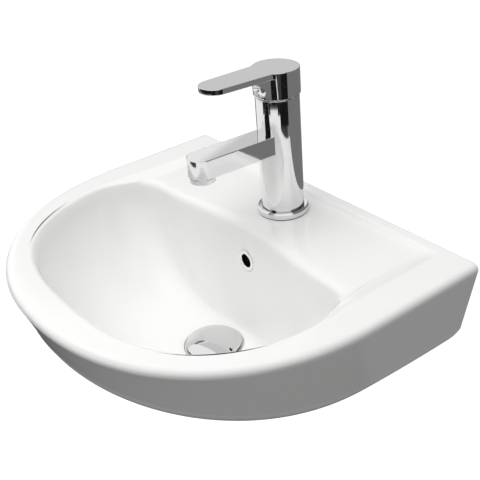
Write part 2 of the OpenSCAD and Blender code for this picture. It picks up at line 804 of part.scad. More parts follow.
module tap_stud() {
    color("lightgray") at_tap() translate([0, -rod_y, -shelf_t - rod_down])
        cylinder(r = rod_r, h = shelf_t + rod_down + inlet_h - 1);
}

module horseshoe(t) {
    difference() {
        cylinder(r = shoe_r, h = t);
        translate([0, 5.5, -cut]) cylinder(r = shoe_gap_r, h = t + 2 * cut);
        translate([-shoe_gap_r, 5.5, -cut]) cube([2 * shoe_gap_r, shoe_r, t + 2 * cut]);
        translate([0, -rod_y, -cut]) cylinder(r = rod_r + 0.15, h = t + 2 * cut);
    }
}

module horseshoe_gasket() {
    color("dimgray") at_tap() translate([0, 0, -shelf_t - shoe_rubber_t]) horseshoe(shoe_rubber_t);
}

module horseshoe_plate() {
    color("silver") at_tap() translate([0, 0, -shelf_t - shoe_rubber_t - shoe_plate_t])
        horseshoe(shoe_plate_t);
}

module tap_nut() {
    color("goldenrod") at_tap()
        translate([0, -rod_y, -shelf_t - shoe_rubber_t - shoe_plate_t - long_nut_h]) difference() {
            hexagon(long_nut_af, long_nut_h);
            translate([0, 0, -cut]) cylinder(r = rod_r + fit_gap, h = long_nut_h + 2 * cut);
        }
}

// Cartridge: base, seals, discs, carrier, casing, turret, stem, pin, nut
base_gap = 0.4;
base_top = ball_z - ball_r - 0.4 - 2 - moving_t - 0.1 - fixed_t;
seal_t = 2;
seal_r = 5.4;
peg_r = 1.6;
disc_r = cart_r - cart_wall - 0.3;
fixed_top = base_top + fixed_t;
moving_low = fixed_top + 0.1;
carrier_low = moving_low + moving_t;
carrier_step = carrier_low + 2;
carrier_top = ball_z + 2;
turret_flange_top = pivot_z - 5.3;
roof_z = turret_flange_top + run_gap;
nut_floor = roof_z + cart_roof;
turret_top = pivot_z + 5;
carrier_half = 8;
travel = 4;
stem_room = 3.3;

module each_peg() {
    for (x = [-11, 11]) translate([x, -8, 0]) children();
}

module each_port(out_y) {
    each_inlet() children();
    translate([0, out_y, 0]) children();
}

module cartridge_base() {
    color("dimgray") at_tap() difference() {
        union() {
            translate([0, 0, seat_h + base_gap]) cylinder(r = cart_r, h = 1.2);
            translate([0, 0, seat_h + base_gap])
                cylinder(r = cart_r - cart_wall - 0.1, h = base_top - seat_h - base_gap);
            each_peg() translate([0, 0, seat_h - 2.5]) cylinder(r = peg_r, h = 4);
        }
        each_port(outlet_y) translate([0, 0, seat_h]) cylinder(r = seal_r + 0.1, h = seal_t);
        each_port(outlet_y) translate([0, 0, seat_h]) cylinder(r = water_r, h = base_top);
    }
}

module cartridge_seals() {
    color("black") at_tap() each_port(outlet_y) translate([0, 0, seat_h]) ring(seal_r, water_r, seal_t);
}

module fixed_disc() {
    color("white") at_tap() translate([0, 0, base_top]) difference() {
        cylinder(r = disc_r, h = fixed_t);
        each_port(outlet_y) translate([0, 0, -cut]) cylinder(r = water_r - 0.3, h = fixed_t + 2 * cut);
    }
}

module moving_disc() {
    color("white") at_tap() translate([0, 0, moving_low]) difference() {
        cylinder(r = moving_r, h = moving_t);
        translate([0, -1, -cut]) cylinder(r = 6, h = moving_t / 2 + cut);
    }
}

module disc_carrier() {
    color("dimgray") at_tap() difference() {
        union() {
            translate([0, 0, carrier_low]) cylinder(r = moving_r, h = 2);
            translate([-carrier_half, -carrier_half + 1, carrier_step - eps])
                cube([2 * carrier_half, 2 * carrier_half - 2, carrier_top - carrier_step + eps]);
        }
        translate([0, 0, carrier_step]) cylinder(r = ball_r + run_gap, h = 20);
    }
}

module cartridge_shell() {
    low = seat_h + base_gap + 1.2;
    color("gainsboro") at_tap() difference() {
        translate([0, 0, low]) cylinder(r = cart_r, h = nut_floor - low);
        translate([0, 0, low - cut]) cylinder(r = cart_r - cart_wall, h = roof_z - low + cut);
        translate([0, 0, low]) cylinder(r = turret_r + run_gap, h = nut_floor);
    }
}

module turret() {
    flange_low = carrier_step + 0.4;
    color("gainsboro") at_tap() difference() {
        union() {
            translate([0, 0, flange_low])
                cylinder(r = cart_r - cart_wall - run_gap, h = turret_flange_top - flange_low);
            translate([0, 0, flange_low]) cylinder(r = turret_r, h = turret_top - flange_low);
        }
        translate([-carrier_half - run_gap, -carrier_half + 1 - travel - 0.4, flange_low - cut])
            cube([
                2 * (carrier_half + run_gap),
                2 * carrier_half - 2 + travel + 0.8,
                carrier_top + 0.5 - flange_low + cut
            ]);
        translate([-stem_w / 2 - run_gap, -stem_w / 2 - stem_room, flange_low])
            cube([stem_w + 2 * run_gap, stem_w + 2 * stem_room, turret_top]);
        translate([-turret_r - cut, 0, pivot_z]) rotate([0, 90, 0])
            cylinder(r = pin_r + fit_gap, h = 2 * (turret_r + cut));
    }
}

stem_top = body_h + cap_gap + 23;

module lever_stem() {
    color("silver") at_tap() difference() {
        union() {
            translate([-stem_w / 2, -stem_w / 2, pivot_z - 4.5])
                cube([stem_w, stem_w, stem_top - pivot_z + 4.5]);
            translate([0, 0, ball_z]) cylinder(r = ball_r * 0.7, h = stem_arm - 4);
            translate([0, 0, ball_z]) sphere(r = ball_r);
        }
        translate([-stem_w, 0, pivot_z]) rotate([0, 90, 0]) cylinder(r = pin_r + pin_gap, h = 2 * stem_w);
    }
}

module lever_pin() {
    color("lightgray") at_tap() translate([-turret_r + 0.6, 0, pivot_z]) rotate([0, 90, 0])
        cylinder(r = pin_r, h = 2 * turret_r - 1.2);
}

module cartridge_nut() {
    color("goldenrod") at_tap() translate([0, 0, nut_floor])
        ring(nut_thread_r - fit_gap, turret_r + 1, cart_nut_h);
}

// The collar: a low cone that closes the body's top around the turret
collar_cone_h = 4;

module trim_collar() {
    collar_low = nut_floor + cart_nut_h;
    lip_r = nut_thread_r + 1.2;
    color("silver") at_tap() difference() {
        union() {
            translate([0, 0, collar_low]) cylinder(r = nut_thread_r - fit_gap, h = body_h - collar_low + eps);
            translate([0, 0, body_h]) cylinder(r = lip_r, h = 0.7);
            translate([0, 0, body_h + 0.7 - eps])
                cylinder(r1 = lip_r - 0.6, r2 = 14.4, h = collar_cone_h - 0.7);
        }
        translate([0, 0, collar_low - cut]) cylinder(r = nut_thread_r - 2, h = body_h - collar_low + cut);
        translate([0, 0, body_h - eps]) cylinder(r1 = nut_thread_r - 2, r2 = 13.2, h = collar_cone_h - 1.2);
        translate([0, 0, collar_low]) cylinder(r = 13.2, h = 30);
    }
}

// Handle, in the same frame: the cap over the body with the flat lever
cap_low_z = body_h + cap_gap;
cap_top = cap_low_z + cap_h;
scoop_z = pivot_z + 17.5;
lever_tip_y = -(lever_len - lever_half);

// A slab tilted with the lever about the tap's axis, its top at the cap's top
module top_slab(t) {
    translate([0, 0, cap_top]) rotate([-lever_rise, 0, 0])
        translate([-2 * cap_r, -2 * lever_len, -t]) cube([4 * cap_r, 3 * lever_len, t]);
}

module lever_plan() {
    translate([0, lever_tip_y]) circle(r = lever_half);
    polygon([[-lever_half, lever_tip_y], [lever_half, lever_tip_y], [lever_root, -16], [-lever_root, -16]]);
}

module handle_cavity() {
    intersection() {
        union() {
            translate([0, 0, pivot_z]) sphere(r = dome_r + 0.45, $fn = 96);
            intersection() {
                translate([0, 0, pivot_z]) sphere(r = dome_r + 2.5, $fn = 96);
                translate([-40, 0, pivot_z]) cube([80, 40, 40]);
            }
        }
        translate([0, 0, pivot_z]) cylinder(r = body_r - 0.2, h = 60);
    }
}

module handle() {
    color("silver") at_tap() difference() {
        intersection() {
            union() {
                translate([0, 0, cap_low_z]) cylinder(r = cap_r, h = 60);
                intersection() {
                    linear_extrude(height = 2 * cap_top) lever_plan();
                    top_slab(lever_t);
                }
            }
            top_slab(cap_top);
        }
        difference() {
            handle_cavity();
            translate([-5.5, -22, pivot_z + 14.2]) cube([11, 22 - stem_w / 2 - fit_gap, 20]);
        }
        translate([-stem_w / 2 - fit_gap, -stem_w / 2 - fit_gap, pivot_z])
            cube([stem_w + 2 * fit_gap, stem_w + 2 * fit_gap, stem_top + 0.2 - pivot_z]);
        translate([0, -cap_r + 0.3, scoop_z]) {
            translate([-4, 0, 0]) rotate([0, 90, 0]) cylinder(r = scoop_r, h = 8);
            translate([-4, 0, 0]) sphere(r = scoop_r);
            translate([4, 0, 0]) sphere(r = scoop_r);
        }
        translate([0, 0, scoop_z]) forward() cylinder(r = grub_r + fit_gap, h = 25);
        translate([0, scoop_y + 2.6, scoop_z]) forward() cylinder(r = plug_r + fit_gap, h = 8);
    }
}

scoop_y = -cap_r + 0.3 + scoop_r;

module grub_screw() {
    color("dimgray") at_tap() translate([0, -stem_w / 2 - fit_gap, scoop_z]) forward() difference() {
        cylinder(r = grub_r, h = 9);
        translate([0, 0, 6]) hexagon(2.5, 4);
    }
}

module index_plug() {
    color("whitesmoke") at_tap() translate([0, scoop_y + 2.6, scoop_z]) forward() {
        cylinder(r = plug_r, h = 3.4);
    }
}

// Aerator
module aerator_housing() {
    color("silver") at_tap() translate([0, -spout_reach, aerator_low]) difference() {
        union() {
            cylinder(r = aerator_r, h = aerator_top - aerator_low);
            cylinder(r = collar_low_r, h = aerator_out - 1);
        }
        translate([0, 0, 2]) cylinder(r = aerator_r - 1.6, h = 40);
        translate([0, 0, -cut]) cylinder(r = aerator_r - 3, h = 10);
    }
}

module aerator_insert() {
    grid = 2.6;
    color("gainsboro") at_tap() translate([0, -spout_reach, aerator_low + 2]) difference() {
        cylinder(r = aerator_r - 1.6 - fit_gap, h = aerator_top - aerator_low - 2);
        for (i = [-2:2], j = [-2:2])
            if (i * i + j * j < 6)
                translate([i * grid, j * grid, -cut]) cylinder(r = 0.9, h = 20, $fn = 16);
    }
}

module aerator_seal() {
    color("black") at_tap() translate([0, -spout_reach, aerator_top])
        ring(aerator_r - 0.2, aerator_r - 3.4, 1.5);
}

basin();
wall_studs();
stud_sleeves();
stud_washers();
stud_nuts();
overflow_ring();
waste_body();
waste_top_seal();
waste_bottom_seal();
waste_backnut();
waste_cap();
cap_seal();
click_housing();
click_spindle();
click_spring();
tap_body();
tap_base_ring();
tap_base_seal();
tap_stud();
horseshoe_gasket();
horseshoe_plate();
tap_nut();
cartridge_base();
cartridge_seals();
fixed_disc();
moving_disc();
disc_carrier();
cartridge_shell();
turret();
lever_stem();
lever_pin();
cartridge_nut();
trim_collar();
handle();
grub_screw();
index_plug();
aerator_housing();
aerator_insert();
aerator_seal();
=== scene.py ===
from math import asin, atan2, cos, degrees, pi, radians, sin, sqrt, tan

import bmesh
import bpy
from mathutils import Matrix, Vector


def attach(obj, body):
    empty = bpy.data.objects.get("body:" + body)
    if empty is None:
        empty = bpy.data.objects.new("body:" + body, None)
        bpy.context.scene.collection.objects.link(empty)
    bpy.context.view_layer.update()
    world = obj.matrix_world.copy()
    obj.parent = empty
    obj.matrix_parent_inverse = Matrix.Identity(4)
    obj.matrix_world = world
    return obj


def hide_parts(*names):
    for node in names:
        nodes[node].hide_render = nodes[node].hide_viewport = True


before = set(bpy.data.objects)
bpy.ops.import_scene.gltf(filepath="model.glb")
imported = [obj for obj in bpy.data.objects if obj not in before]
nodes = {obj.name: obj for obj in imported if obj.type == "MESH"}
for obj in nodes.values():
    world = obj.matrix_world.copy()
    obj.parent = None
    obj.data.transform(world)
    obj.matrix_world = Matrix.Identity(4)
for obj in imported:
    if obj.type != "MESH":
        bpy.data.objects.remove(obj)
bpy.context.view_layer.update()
scene = bpy.context.scene

# ---------------------------------------------------------------- Camera
# The photograph looks down on the basin from its right front corner, about
# thirty degrees above level, with a small roll to the left.
photo_pitch = radians(30.63)
photo_turn = radians(54.82)
photo_roll = radians(-5.04)
photo_eye = Vector((0.6501, -0.5755, 0.5218))
photo_focal, photo_width = 859.29, 480  # both in pixels of the photograph

look = Vector((
    -sin(photo_turn) * cos(photo_pitch), cos(photo_turn) * cos(photo_pitch), -sin(photo_pitch)))
level_right = Vector((cos(photo_turn), sin(photo_turn), 0))
level_up = level_right.cross(look)
eye_right = level_right * cos(photo_roll) + level_up * sin(photo_roll)
eye_up = level_up * cos(photo_roll) - level_right * sin(photo_roll)

camera_lens = bpy.data.cameras.new("photo_camera")
camera_lens.sensor_width = 36
camera_lens.lens = camera_lens.sensor_width * photo_focal / photo_width
camera_lens.clip_start = 0.01
camera = bpy.data.objects.new("photo_camera", camera_lens)
camera.matrix_world = Matrix((
    (eye_right.x, eye_up.x, -look.x, photo_eye.x),
    (eye_right.y, eye_up.y, -look.y, photo_eye.y),
    (eye_right.z, eye_up.z, -look.z, photo_eye.z),
    (0, 0, 0, 1),
))
scene.collection.objects.link(camera)
scene.camera = camera
scene.view_settings.view_transform = "Standard"


# ---------------------------------------------------------------- Stage
# A pale painted floor well below the basin, a white surround and one soft lamp
# overhead on the left. Grey, black and white cards stand clear of the basin, for
# chrome to mirror: they light nothing and only mirrors show them.
def linear(colour):
    """An sRGB hex colour as the linear numbers that a shader takes."""
    parts = [int(colour[i:i + 2], 16) / 255 for i in (0, 2, 4)]
    return tuple(c / 12.92 if c <= 0.04045 else ((c + 0.055) / 1.055) ** 2.4 for c in parts) + (1.0,)


def add(tree, kind, inputs=None, **settings):
    """Adds a node. Settings go on the node itself; an input is a value or another node's socket."""
    made = tree.nodes.new(kind)
    for key, value in settings.items():
        setattr(made, key, value)
    for key, value in (inputs or {}).items():
        if isinstance(value, bpy.types.NodeSocket):
            tree.links.new(value, made.inputs[key])
        else:
            made.inputs[key].default_value = value
    return made


def blank_material(name):
    """A material with no nodes yet, and its tree."""
    made = bpy.data.materials.new(name)
    made.use_nodes = True
    made.node_tree.nodes.clear()
    return made, made.node_tree


def seen_directly(tree):
    """1 for what the camera, a mirror or clear plastic shows, 0 for light on its way to a surface."""
    ray = add(tree, "ShaderNodeLightPath")
    sharp = add(tree, "ShaderNodeMath", {
        0: ray.outputs["Is Camera Ray"], 1: ray.outputs["Is Glossy Ray"]}, operation="MAXIMUM")
    seen = add(tree, "ShaderNodeMath", {
        0: sharp.outputs[0], 1: ray.outputs["Is Transmission Ray"]}, operation="MAXIMUM")
    return seen.outputs[0]


ambient_level = 0.49
world = bpy.data.worlds.new("white_surround")
world.use_nodes = True
world.node_tree.nodes.clear()
tree = world.node_tree
ambient = add(tree, "ShaderNodeBackground", {"Color": (1, 1, 1, 1), "Strength": ambient_level})
white = add(tree, "ShaderNodeBackground", {"Color": (1, 1, 1, 1), "Strength": 1.0})
surround = add(tree, "ShaderNodeMixShader", {
    0: seen_directly(tree), 1: ambient.outputs[0], 2: white.outputs[0]})
add(tree, "ShaderNodeOutputWorld", {"Surface": surround.outputs[0]})
scene.world = world

# Painted concrete: dull and pale with 25 mm flecks. It is white to the camera, and keeps the soft
# shadow that lies on it
floor_glow = 0.86
floor_paint, tree = blank_material("pale_floor_paint")
fleck = add(tree, "ShaderNodeTexNoise", {"Scale": 40.0, "Detail": 3.0})
dull_tone = add(tree, "ShaderNodeMixRGB", {
    "Fac": fleck.outputs["Fac"], "Color1": linear("6e6e6e"), "Color2": linear("787878")})
dull = add(tree, "ShaderNodeBsdfDiffuse", {"Color": dull_tone.outputs[0], "Roughness": 1.0})
pale_tone = add(tree, "ShaderNodeMixRGB", {
    "Fac": fleck.outputs["Fac"], "Color1": linear("aeaeae"), "Color2": linear("aaaaaa")})
pale = add(tree, "ShaderNodeBsdfDiffuse", {"Color": pale_tone.outputs[0], "Roughness": 1.0})
glow = add(tree, "ShaderNodeEmission", {"Color": (1, 1, 1, 1), "Strength": floor_glow})
lit = add(tree, "ShaderNodeAddShader", {0: glow.outputs[0], 1: pale.outputs[0]})
both = add(tree, "ShaderNodeMixShader", {0: seen_directly(tree), 1: dull.outputs[0], 2: lit.outputs[0]})
add(tree, "ShaderNodeOutputMaterial", {"Surface": both.outputs[0]})


def staged(name, corners, faces, material, mirrored_only=True):
    """The floor or a card of the stage, which is no part of the basin."""
    mesh = bpy.data.meshes.new(name)
    mesh.from_pydata(corners, [], faces)
    mesh.materials.append(material)
    made = bpy.data.objects.new(name, mesh)
    scene.collection.objects.link(made)
    if mirrored_only:
        made.visible_camera = False
        made.visible_diffuse = False
        made.visible_shadow = False
        made.visible_transmission = False


floor_z, floor_reach = -0.75, 6
square = ((-1, -1), (1, -1), (1, 1), (-1, 1))
staged("floor", [(x * floor_reach, y * floor_reach, floor_z) for x, y in square], [(0, 1, 2, 3)],
       floor_paint, mirrored_only=False)

# The wall card, 60 mm behind the basin's back: grey, with two lighter steps left of the tap. Their
# edges slant, as the spout's top and the lever's top mirror them
card_reach, wall_y, wall_low, wall_high = 1.3, 0.06, -0.45, 0.85
step_slant, slant_end, steps_end = 0.73, -0.1, -0.093
step_levels = [(0.0, 0.2), (0.44, 0.2), (0.465, 0.97), (0.54, 0.97), (0.565, 0.68), (1.0, 0.68)]
wall_card, tree = blank_material("grey_wall_card")
place = add(tree, "ShaderNodeTexCoord")
split = add(tree, "ShaderNodeSeparateXYZ", {0: place.outputs["Object"]})
left = add(tree, "ShaderNodeMath", {0: split.outputs["X"], 1: slant_end}, operation="MINIMUM")
slant = add(tree, "ShaderNodeMath", {0: left.outputs[0], 1: step_slant}, operation="MULTIPLY")
line = add(tree, "ShaderNodeMath", {0: split.outputs["Z"], 1: slant.outputs[0]}, operation="ADD")
right = add(tree, "ShaderNodeMath", {0: split.outputs["X"], 1: steps_end}, operation="GREATER_THAN")
line = add(tree, "ShaderNodeMath", {0: line.outputs[0], 1: right.outputs[0]}, operation="SUBTRACT")
share = add(tree, "ShaderNodeMapRange", {"Value": line.outputs[0], "From Min": -0.173, "From Max": 0.327})
ramp = add(tree, "ShaderNodeValToRGB", {"Fac": share.outputs[0]})
while len(ramp.color_ramp.elements) < len(step_levels):
    ramp.color_ramp.elements.new(0.5)
for element, (at, level) in zip(ramp.color_ramp.elements, step_levels):
    element.position = at
    element.color = (level, level, level, 1)
card = add(tree, "ShaderNodeEmission", {"Color": ramp.outputs[0], "Strength": 1.0})
add(tree, "ShaderNodeOutputMaterial", {"Surface": card.outputs[0]})
wall_corners = ((-1, wall_low), (1, wall_low), (1, wall_high), (-1, wall_high))
staged("wall_card", [(x * card_reach, wall_y, z) for x, z in wall_corners], [(0, 1, 2, 3)], wall_card)


def plain_card(name, level):
    """Matt card of one brightness."""
    made, tree = blank_material(name)
    card = add(tree, "ShaderNodeEmission", {"Color": (level, level, level, 1), "Strength": 1.0})
    add(tree, "ShaderNodeOutputMaterial", {"Surface": card.outputs[0]})
    return made


# The dark card under the basin, which chrome mirrors past the rim
flag_z, flag_front = -0.3, -1.6
flag_corners = ((-1, flag_front), (1, flag_front), (1, wall_y), (-1, wall_y))
staged("floor_flag", [(x * card_reach, y, flag_z) for x, y in flag_corners], [(0, 1, 2, 3)],
       plain_card("dark_floor_flag", 0.05))

# Half a metre round the tap, upright cards at the heights and angles that its round walls mirror
card_distance, card_centre_y, card_steps = 0.5, -0.055, 24
camera_side = degrees(photo_turn) - 90
tap_cards = [
    # name, lower and upper edge, first and last angle from the camera's side, brightness
    # what the handle's cap mirrors, with more black above it for the lever's tip
    ("cap_card_grey", 0.008, 0.0575, -180, -30, 0.2),
    ("lever_tip_card", 0.0575, 0.082, -115, -30, 0.01),
    ("cap_card_black_left", 0.008, 0.07, -30, -4, 0.01),
    ("cap_card_dark", 0.008, 0.07, -4, 17, 0.05),
    ("cap_card_black_right", 0.008, 0.07, 17, 48, 0.01),
    # what the body mirrors: a black line at its top, then white on the left and black on the right
    ("body_card_line", -0.003, 0.008, -84, 49, 0.01),
    ("body_card_white", -0.18, -0.003, -42, -5, 1.0),
    ("body_card_white_middle", -0.18, -0.014, -5, 6, 1.0),
    ("body_card_white_left", -0.18, 0.008, -148, -84, 1.0),
    ("body_card_black_middle", -0.014, -0.003, -5, 6, 0.01),
    ("body_card_black", -0.034, -0.003, 6, 49, 0.01),
    # in front of the basin, high up, the black that the spout's root mirrors
    ("front_card", 0.22, 0.46, -78, -47, 0.01),
]
for name, low, high, start, end, level in tap_cards:
    corners = []
    for z in (low, high):
        for k in range(card_steps + 1):
            a = radians(camera_side + start + (end - start) * k / card_steps)
            corners.append((card_distance * cos(a), card_centre_y + card_distance * sin(a), z))
    faces = [(k, k + 1, k + card_steps + 2, k + card_steps + 1) for k in range(card_steps)]
    staged(name, corners, faces, plain_card(name, level))

# One large soft lamp. Mirrors don't show it, since the white surround is already what they show
lamp_place, lamp_target = Vector((-0.15, -0.4, 1.6)), Vector((0, -0.2, 0))
lamp = bpy.data.lights.new("key_softbox", "AREA")
lamp.shape = "DISK"
lamp.size = 1.7
lamp.energy = 18.5
key = bpy.data.objects.new("key_softbox", lamp)
key.location = lamp_place
key.rotation_euler = (lamp_target - lamp_place).to_track_quat("-Z", "Y").to_euler()
key.visible_glossy = False
scene.collection.objects.link(key)

# ---------------------------------------------------------------- Basin
# Vitreous china, slip cast in one piece and glazed: D-shaped bowl, sunk tap
# shelf, leaning skirt. The face that meets the wall is left bare of glaze.
MM = 0.001
rim_z = 70.0
half_w, front_y = 225, -360
wall_skirt, front_skirt = 93, 52
side_y = -135.0
waste_y = -165.0
dent_y, turn_y = -100.0, -190.0
points_back, points_corner, points_side, points_front = 18, 16, 26, 40


def mix(a, b, t):
    """a where t is 0, b where it is 1."""
    return a + (b - a) * t


def past_shelf(y):
    """0 beside the shelf, 1 where the sides have left it."""
    return (1 - cos(pi * min(1, max(0, (y - dent_y) / (turn_y - dent_y))))) / 2


def side_x(plan, y):
    """How far a plan's side stands from the middle at y."""
    half, back, front, corner, dent, bay, fullness = plan
    return (half * (1 - max(0, (side_y - y) / (side_y - front)) ** fullness) ** (1 / fullness)
            - dent * (1 - past_shelf(y)))


def half_plan(plan):
    """Half a plan of the china, from the middle of the back round to the middle of the front.

    A plan is (half width, back, front, corner, dent beside the shelf, bay behind it, fullness).
    """
    half, back, front, corner, dent, bay, fullness = plan
    y_corner = back - bay - corner
    slope = (side_x(plan, y_corner - 1) - side_x(plan, y_corner + 1)) / 2
    x_corner = side_x(plan, y_corner) - slope * corner
    line = []
    for k in range(points_back):
        t = k / points_back
        line.append(((x_corner - corner) * t, back - bay * (1 - cos(pi * t)) / 2))
    for k in range(points_corner):
        t = k / points_corner
        x = (1 - t) ** 2 * (x_corner - corner) + 2 * t * (1 - t) * x_corner + t * t * side_x(plan, y_corner)
        line.append((x, mix(back - bay, y_corner, t * t)))
    for k in range(points_side):
        y = mix(y_corner, turn_y, k / points_side)
        line.append((side_x(plan, y), y))
    start = asin(((side_y - turn_y) / (side_y - front)) ** (fullness / 2))
    for k in range(points_front + 1):
        w = mix(start, pi / 2, k / points_front)
        line.append((half * max(cos(w), 0) ** (2 / fullness),
                     side_y + (front - side_y) * sin(w) ** (2 / fullness)))
    return line


def half_circle(r):
    """The same points on a circle about the waste."""
    angles = ([mix(90, 58, k / points_back) for k in range(points_back)]
              + [mix(58, 40, k / points_corner) for k in range(points_corner)]
              + [mix(40, -8, k / points_side) for k in range(points_side)]
              + [mix(-8, -90, k / points_front) for k in range(points_front + 1)])
    return [(r * cos(radians(a)), waste_y + r * sin(radians(a))) for a in angles]


def ring_at(plan, shelf_depth, front_depth):
    """A ring on a plan, at one depth under the rim beside the shelf and another past it."""
    return [(x, y, rim_z - mix(shelf_depth, front_depth, past_shelf(y))) for x, y in half_plan(plan)]


def ring_round(r, depth):
    """A ring on a circle about the waste, at one depth under the rim."""
    return [(x, y, rim_z - depth) for x, y in half_circle(r)]


def bowl_rings(falls, r, plan, shelf_depth, front_depth, floor_depth):
    """Rings of a bowl between its plan at the top and a circle at its floor."""
    circle, outline = half_circle(r), half_plan(plan)
    rings = []
    for fall in falls:
        share = (1 - fall ** 1.5) ** (1 / 2.2)
        rings.append([
            (mix(cx, px, share), mix(cy, py, share),
             rim_z - mix(mix(shelf_depth, front_depth, past_shelf(py)), floor_depth, fall))
            for (cx, cy), (px, py) in zip(circle, outline)
        ])
    return rings


def curve_through(rings, spacing):
    """More rings, about spacing apart, on smooth curves through these."""
    out = []
    middle = len(rings[0]) - 1
    for i in range(len(rings) - 1):
        before = rings[max(i - 1, 0)]
        a, b = rings[i], rings[i + 1]
        after = rings[min(i + 2, len(rings) - 1)]
        longest = max((Vector(a[k]) - Vector(b[k])).length for k in (0, middle // 2, middle))
        steps = max(2, int(longest / spacing + 0.5))
        for s in range(steps):
            t = s / steps
            ring = []
            for k in range(middle + 1):
                p0, p1, p2, p3 = (Vector(q[k]) for q in (before, a, b, after))
                d1 = max((p2 - p1).length, 1e-3) ** 0.5
                d0 = (p1 - p0).length ** 0.5 or d1
                d2 = (p3 - p2).length ** 0.5 or d1
                m1 = m2 = p2 - p1
                if i:
                    m1 = (p2 - p1) + ((p1 - p0) / d0 - (p2 - p0) / (d0 + d1)) * d1
                if i < len(rings) - 2:
                    m2 = (p2 - p1) + ((p3 - p2) / d2 - (p3 - p1) / (d1 + d2)) * d1
                ring.append(tuple(
                    p1 * (2 * t ** 3 - 3 * t * t + 1) + m1 * (t ** 3 - 2 * t * t + t)
                    + p2 * (3 * t * t - 2 * t ** 3) + m2 * (t ** 3 - t * t)))
            out.append(ring)
    out.append(rings[-1])
    return out


# The bowl, from the waste's seat up to the mouth
mouth_half, mouth_front, mouth_full = 187, -321, 2.65
mouth = (mouth_half, -110, mouth_front, 24, 21, 11, mouth_full)
bowl_depth, seat_depth = 133.5, 136.5
bowl_falls = [1 - (1 - k / 27) ** 1.6 * 0.999 for k in range(27, -1, -1)]
bowl_falls = [min(f, 0.997) for f in bowl_falls if f > 0.004] + [0.0]
rings = [ring_round(r, depth) for r, depth in (
    (23, 135.9), (23.6, 136.4), (25, seat_depth), (32.4, seat_depth),
    (33.0, 136.1), (33.3, 134.8), (33.9, 133.8), (35, bowl_depth))]
rings += bowl_rings(bowl_falls, 38, mouth, 14, 9, bowl_depth)

# The mouth's eased edge, the sunk shelf and its raised border, out to the rim
shelf_steps = [
    # out, back, corner, dent, bay, shelf depth, front depth
    (0, 110, 24, 21, 11, 14, 9),
    (0.9, 109, 24, 21.3, 11, 10.6, 5.6),
    (1.6, 106.5, 23, 21.5, 11, 7.3, 3.6),
    (2.1, 102.5, 22, 21.6, 8.8, 5.5, 2.6),
    (2.4, 98, 20, 21.4, 5.5, 5, 2.1),
    (2.6, 71, 17, 21.4, 0, 5, 1.9),
    (2.8, 44, 15, 21.3, 0, 5, 1.7),
    (3.2, 23, 10, 21, 0, 5, 1.2),
    (3.8, 18, 11, 16.5, 0, 3.9, 0.7),
    (4.6, 14.5, 12, 9, 0, 1.25, 0.25),
    (6, 12, 12, 6, 0, 0, 0),
]
shelf = []
for out, back, corner, dent, bay, shelf_depth, front_depth in shelf_steps:
    plan = (mouth_half + out, -back, mouth_front - out, corner, dent, bay, mouth_full)
    shelf.append(ring_at(plan, shelf_depth, front_depth))
shelf.append(ring_at((mouth_half + 9, -9, -335, 10, 3, 0, 2.35), 0, 0))


def skirt_ring(side_in, front_in, back_in, corner, depth, share=0.0):
    """A ring of the skirt, at one depth plus a share of the skirt's height.

    That height is least at the front, and less again in the last 18 mm before the wall.
    """
    plan = (half_w - side_in, -back_in, front_y + front_in, corner, 0, 0, 2.2)
    ring = []
    for x, y, z in ring_at(plan, depth, depth):
        height = mix(wall_skirt, front_skirt, min(1, max(0, y / front_y)) ** 2.4)
        height -= 6 * max(0, 1 + y / 18) ** 2
        ring.append((x, y, z - share * height))
    return ring


# The rim's outer edge, the leaning skirt and its rounded foot
edge_r, foot_r = 7, 10
edge = []
for k in range(7):
    w = radians(15 * k)
    inward = edge_r * (1 - sin(w))
    edge.append(skirt_ring(inward, inward, 2.5 * (1 - sin(w)), 5, edge_r * (1 - cos(w))))
shelf.append(edge[0])
rings += curve_through(shelf, 5.0)[1:-1] + edge
side_lean, front_lean = 0.2, 0.39
side_run = side_lean * (wall_skirt - edge_r - foot_r)
front_run = front_lean * (front_skirt - edge_r - foot_r)
for k in range(1, 17):
    t = k / 16
    rings.append(skirt_ring(side_run * t, front_run * t, 0, 5, edge_r * (1 - t) - foot_r * t, t))
for k in range(1, 9):
    w = radians(90 * k / 8)
    turned = foot_r * (1 - cos(w))
    rings.append(skirt_ring(
        side_run + turned, front_run + turned, 4 * (1 - cos(w)), 5, -foot_r * (1 - sin(w)), 1))

# Inside: up the skirt's inner face, along the underside of the bowl and down to the waste's boss
inner = [
    rings[-1],
    skirt_ring(side_run + 13, front_run + 13, 11, 6, 0, 1),
    skirt_ring(side_run + 14.5, front_run + 14.5, 13, 8, -3, 1),
    skirt_ring(side_run + 11, front_run + 11, 13, 9, -14, 1),
    skirt_ring(13.5, 17, 13, 8, 22),
    ring_at((210, -15, -341, 8, 0, 0, 2.2), 21, 16),
]
rings += curve_through(inner, 12.0)[1:]
under_falls = [k / 16 for k in range(16)] + [0.97, 0.99, 0.998]
rings += bowl_rings(under_falls, 42, (198, -86, -330, 26, 21, 0, mouth_full), 21, 16, 144.5)
boss_depth = 156.5
rings += [ring_round(r, depth) for r, depth in (
    (43.5, 151), (42, 156), (41, boss_depth), (24, boss_depth), (23, 156))]


def whole(half):
    """A ring from its half, mirrored across the middle, in metres and inside the china's limits."""
    full = list(half) + [(-x, y, z) for x, y, z in half[-2:0:-1]]
    return [(min(max(x, -half_w), half_w) * MM, min(max(y, front_y), 0) * MM, min(z, rim_z) * MM)
            for x, y, z in full]


def loft(rings, closed):
    """Points and four-sided faces through rings of the same count."""
    count = len(rings[0])
    faces = []
    for i in range(len(rings) if closed else len(rings) - 1):
        a, b = i * count, (i + 1) % len(rings) * count
        for k in range(count):
            n = (k + 1) % count
            faces.append((a + k, b + k, b + n, a + n))
    return [p for r in rings for p in r], faces


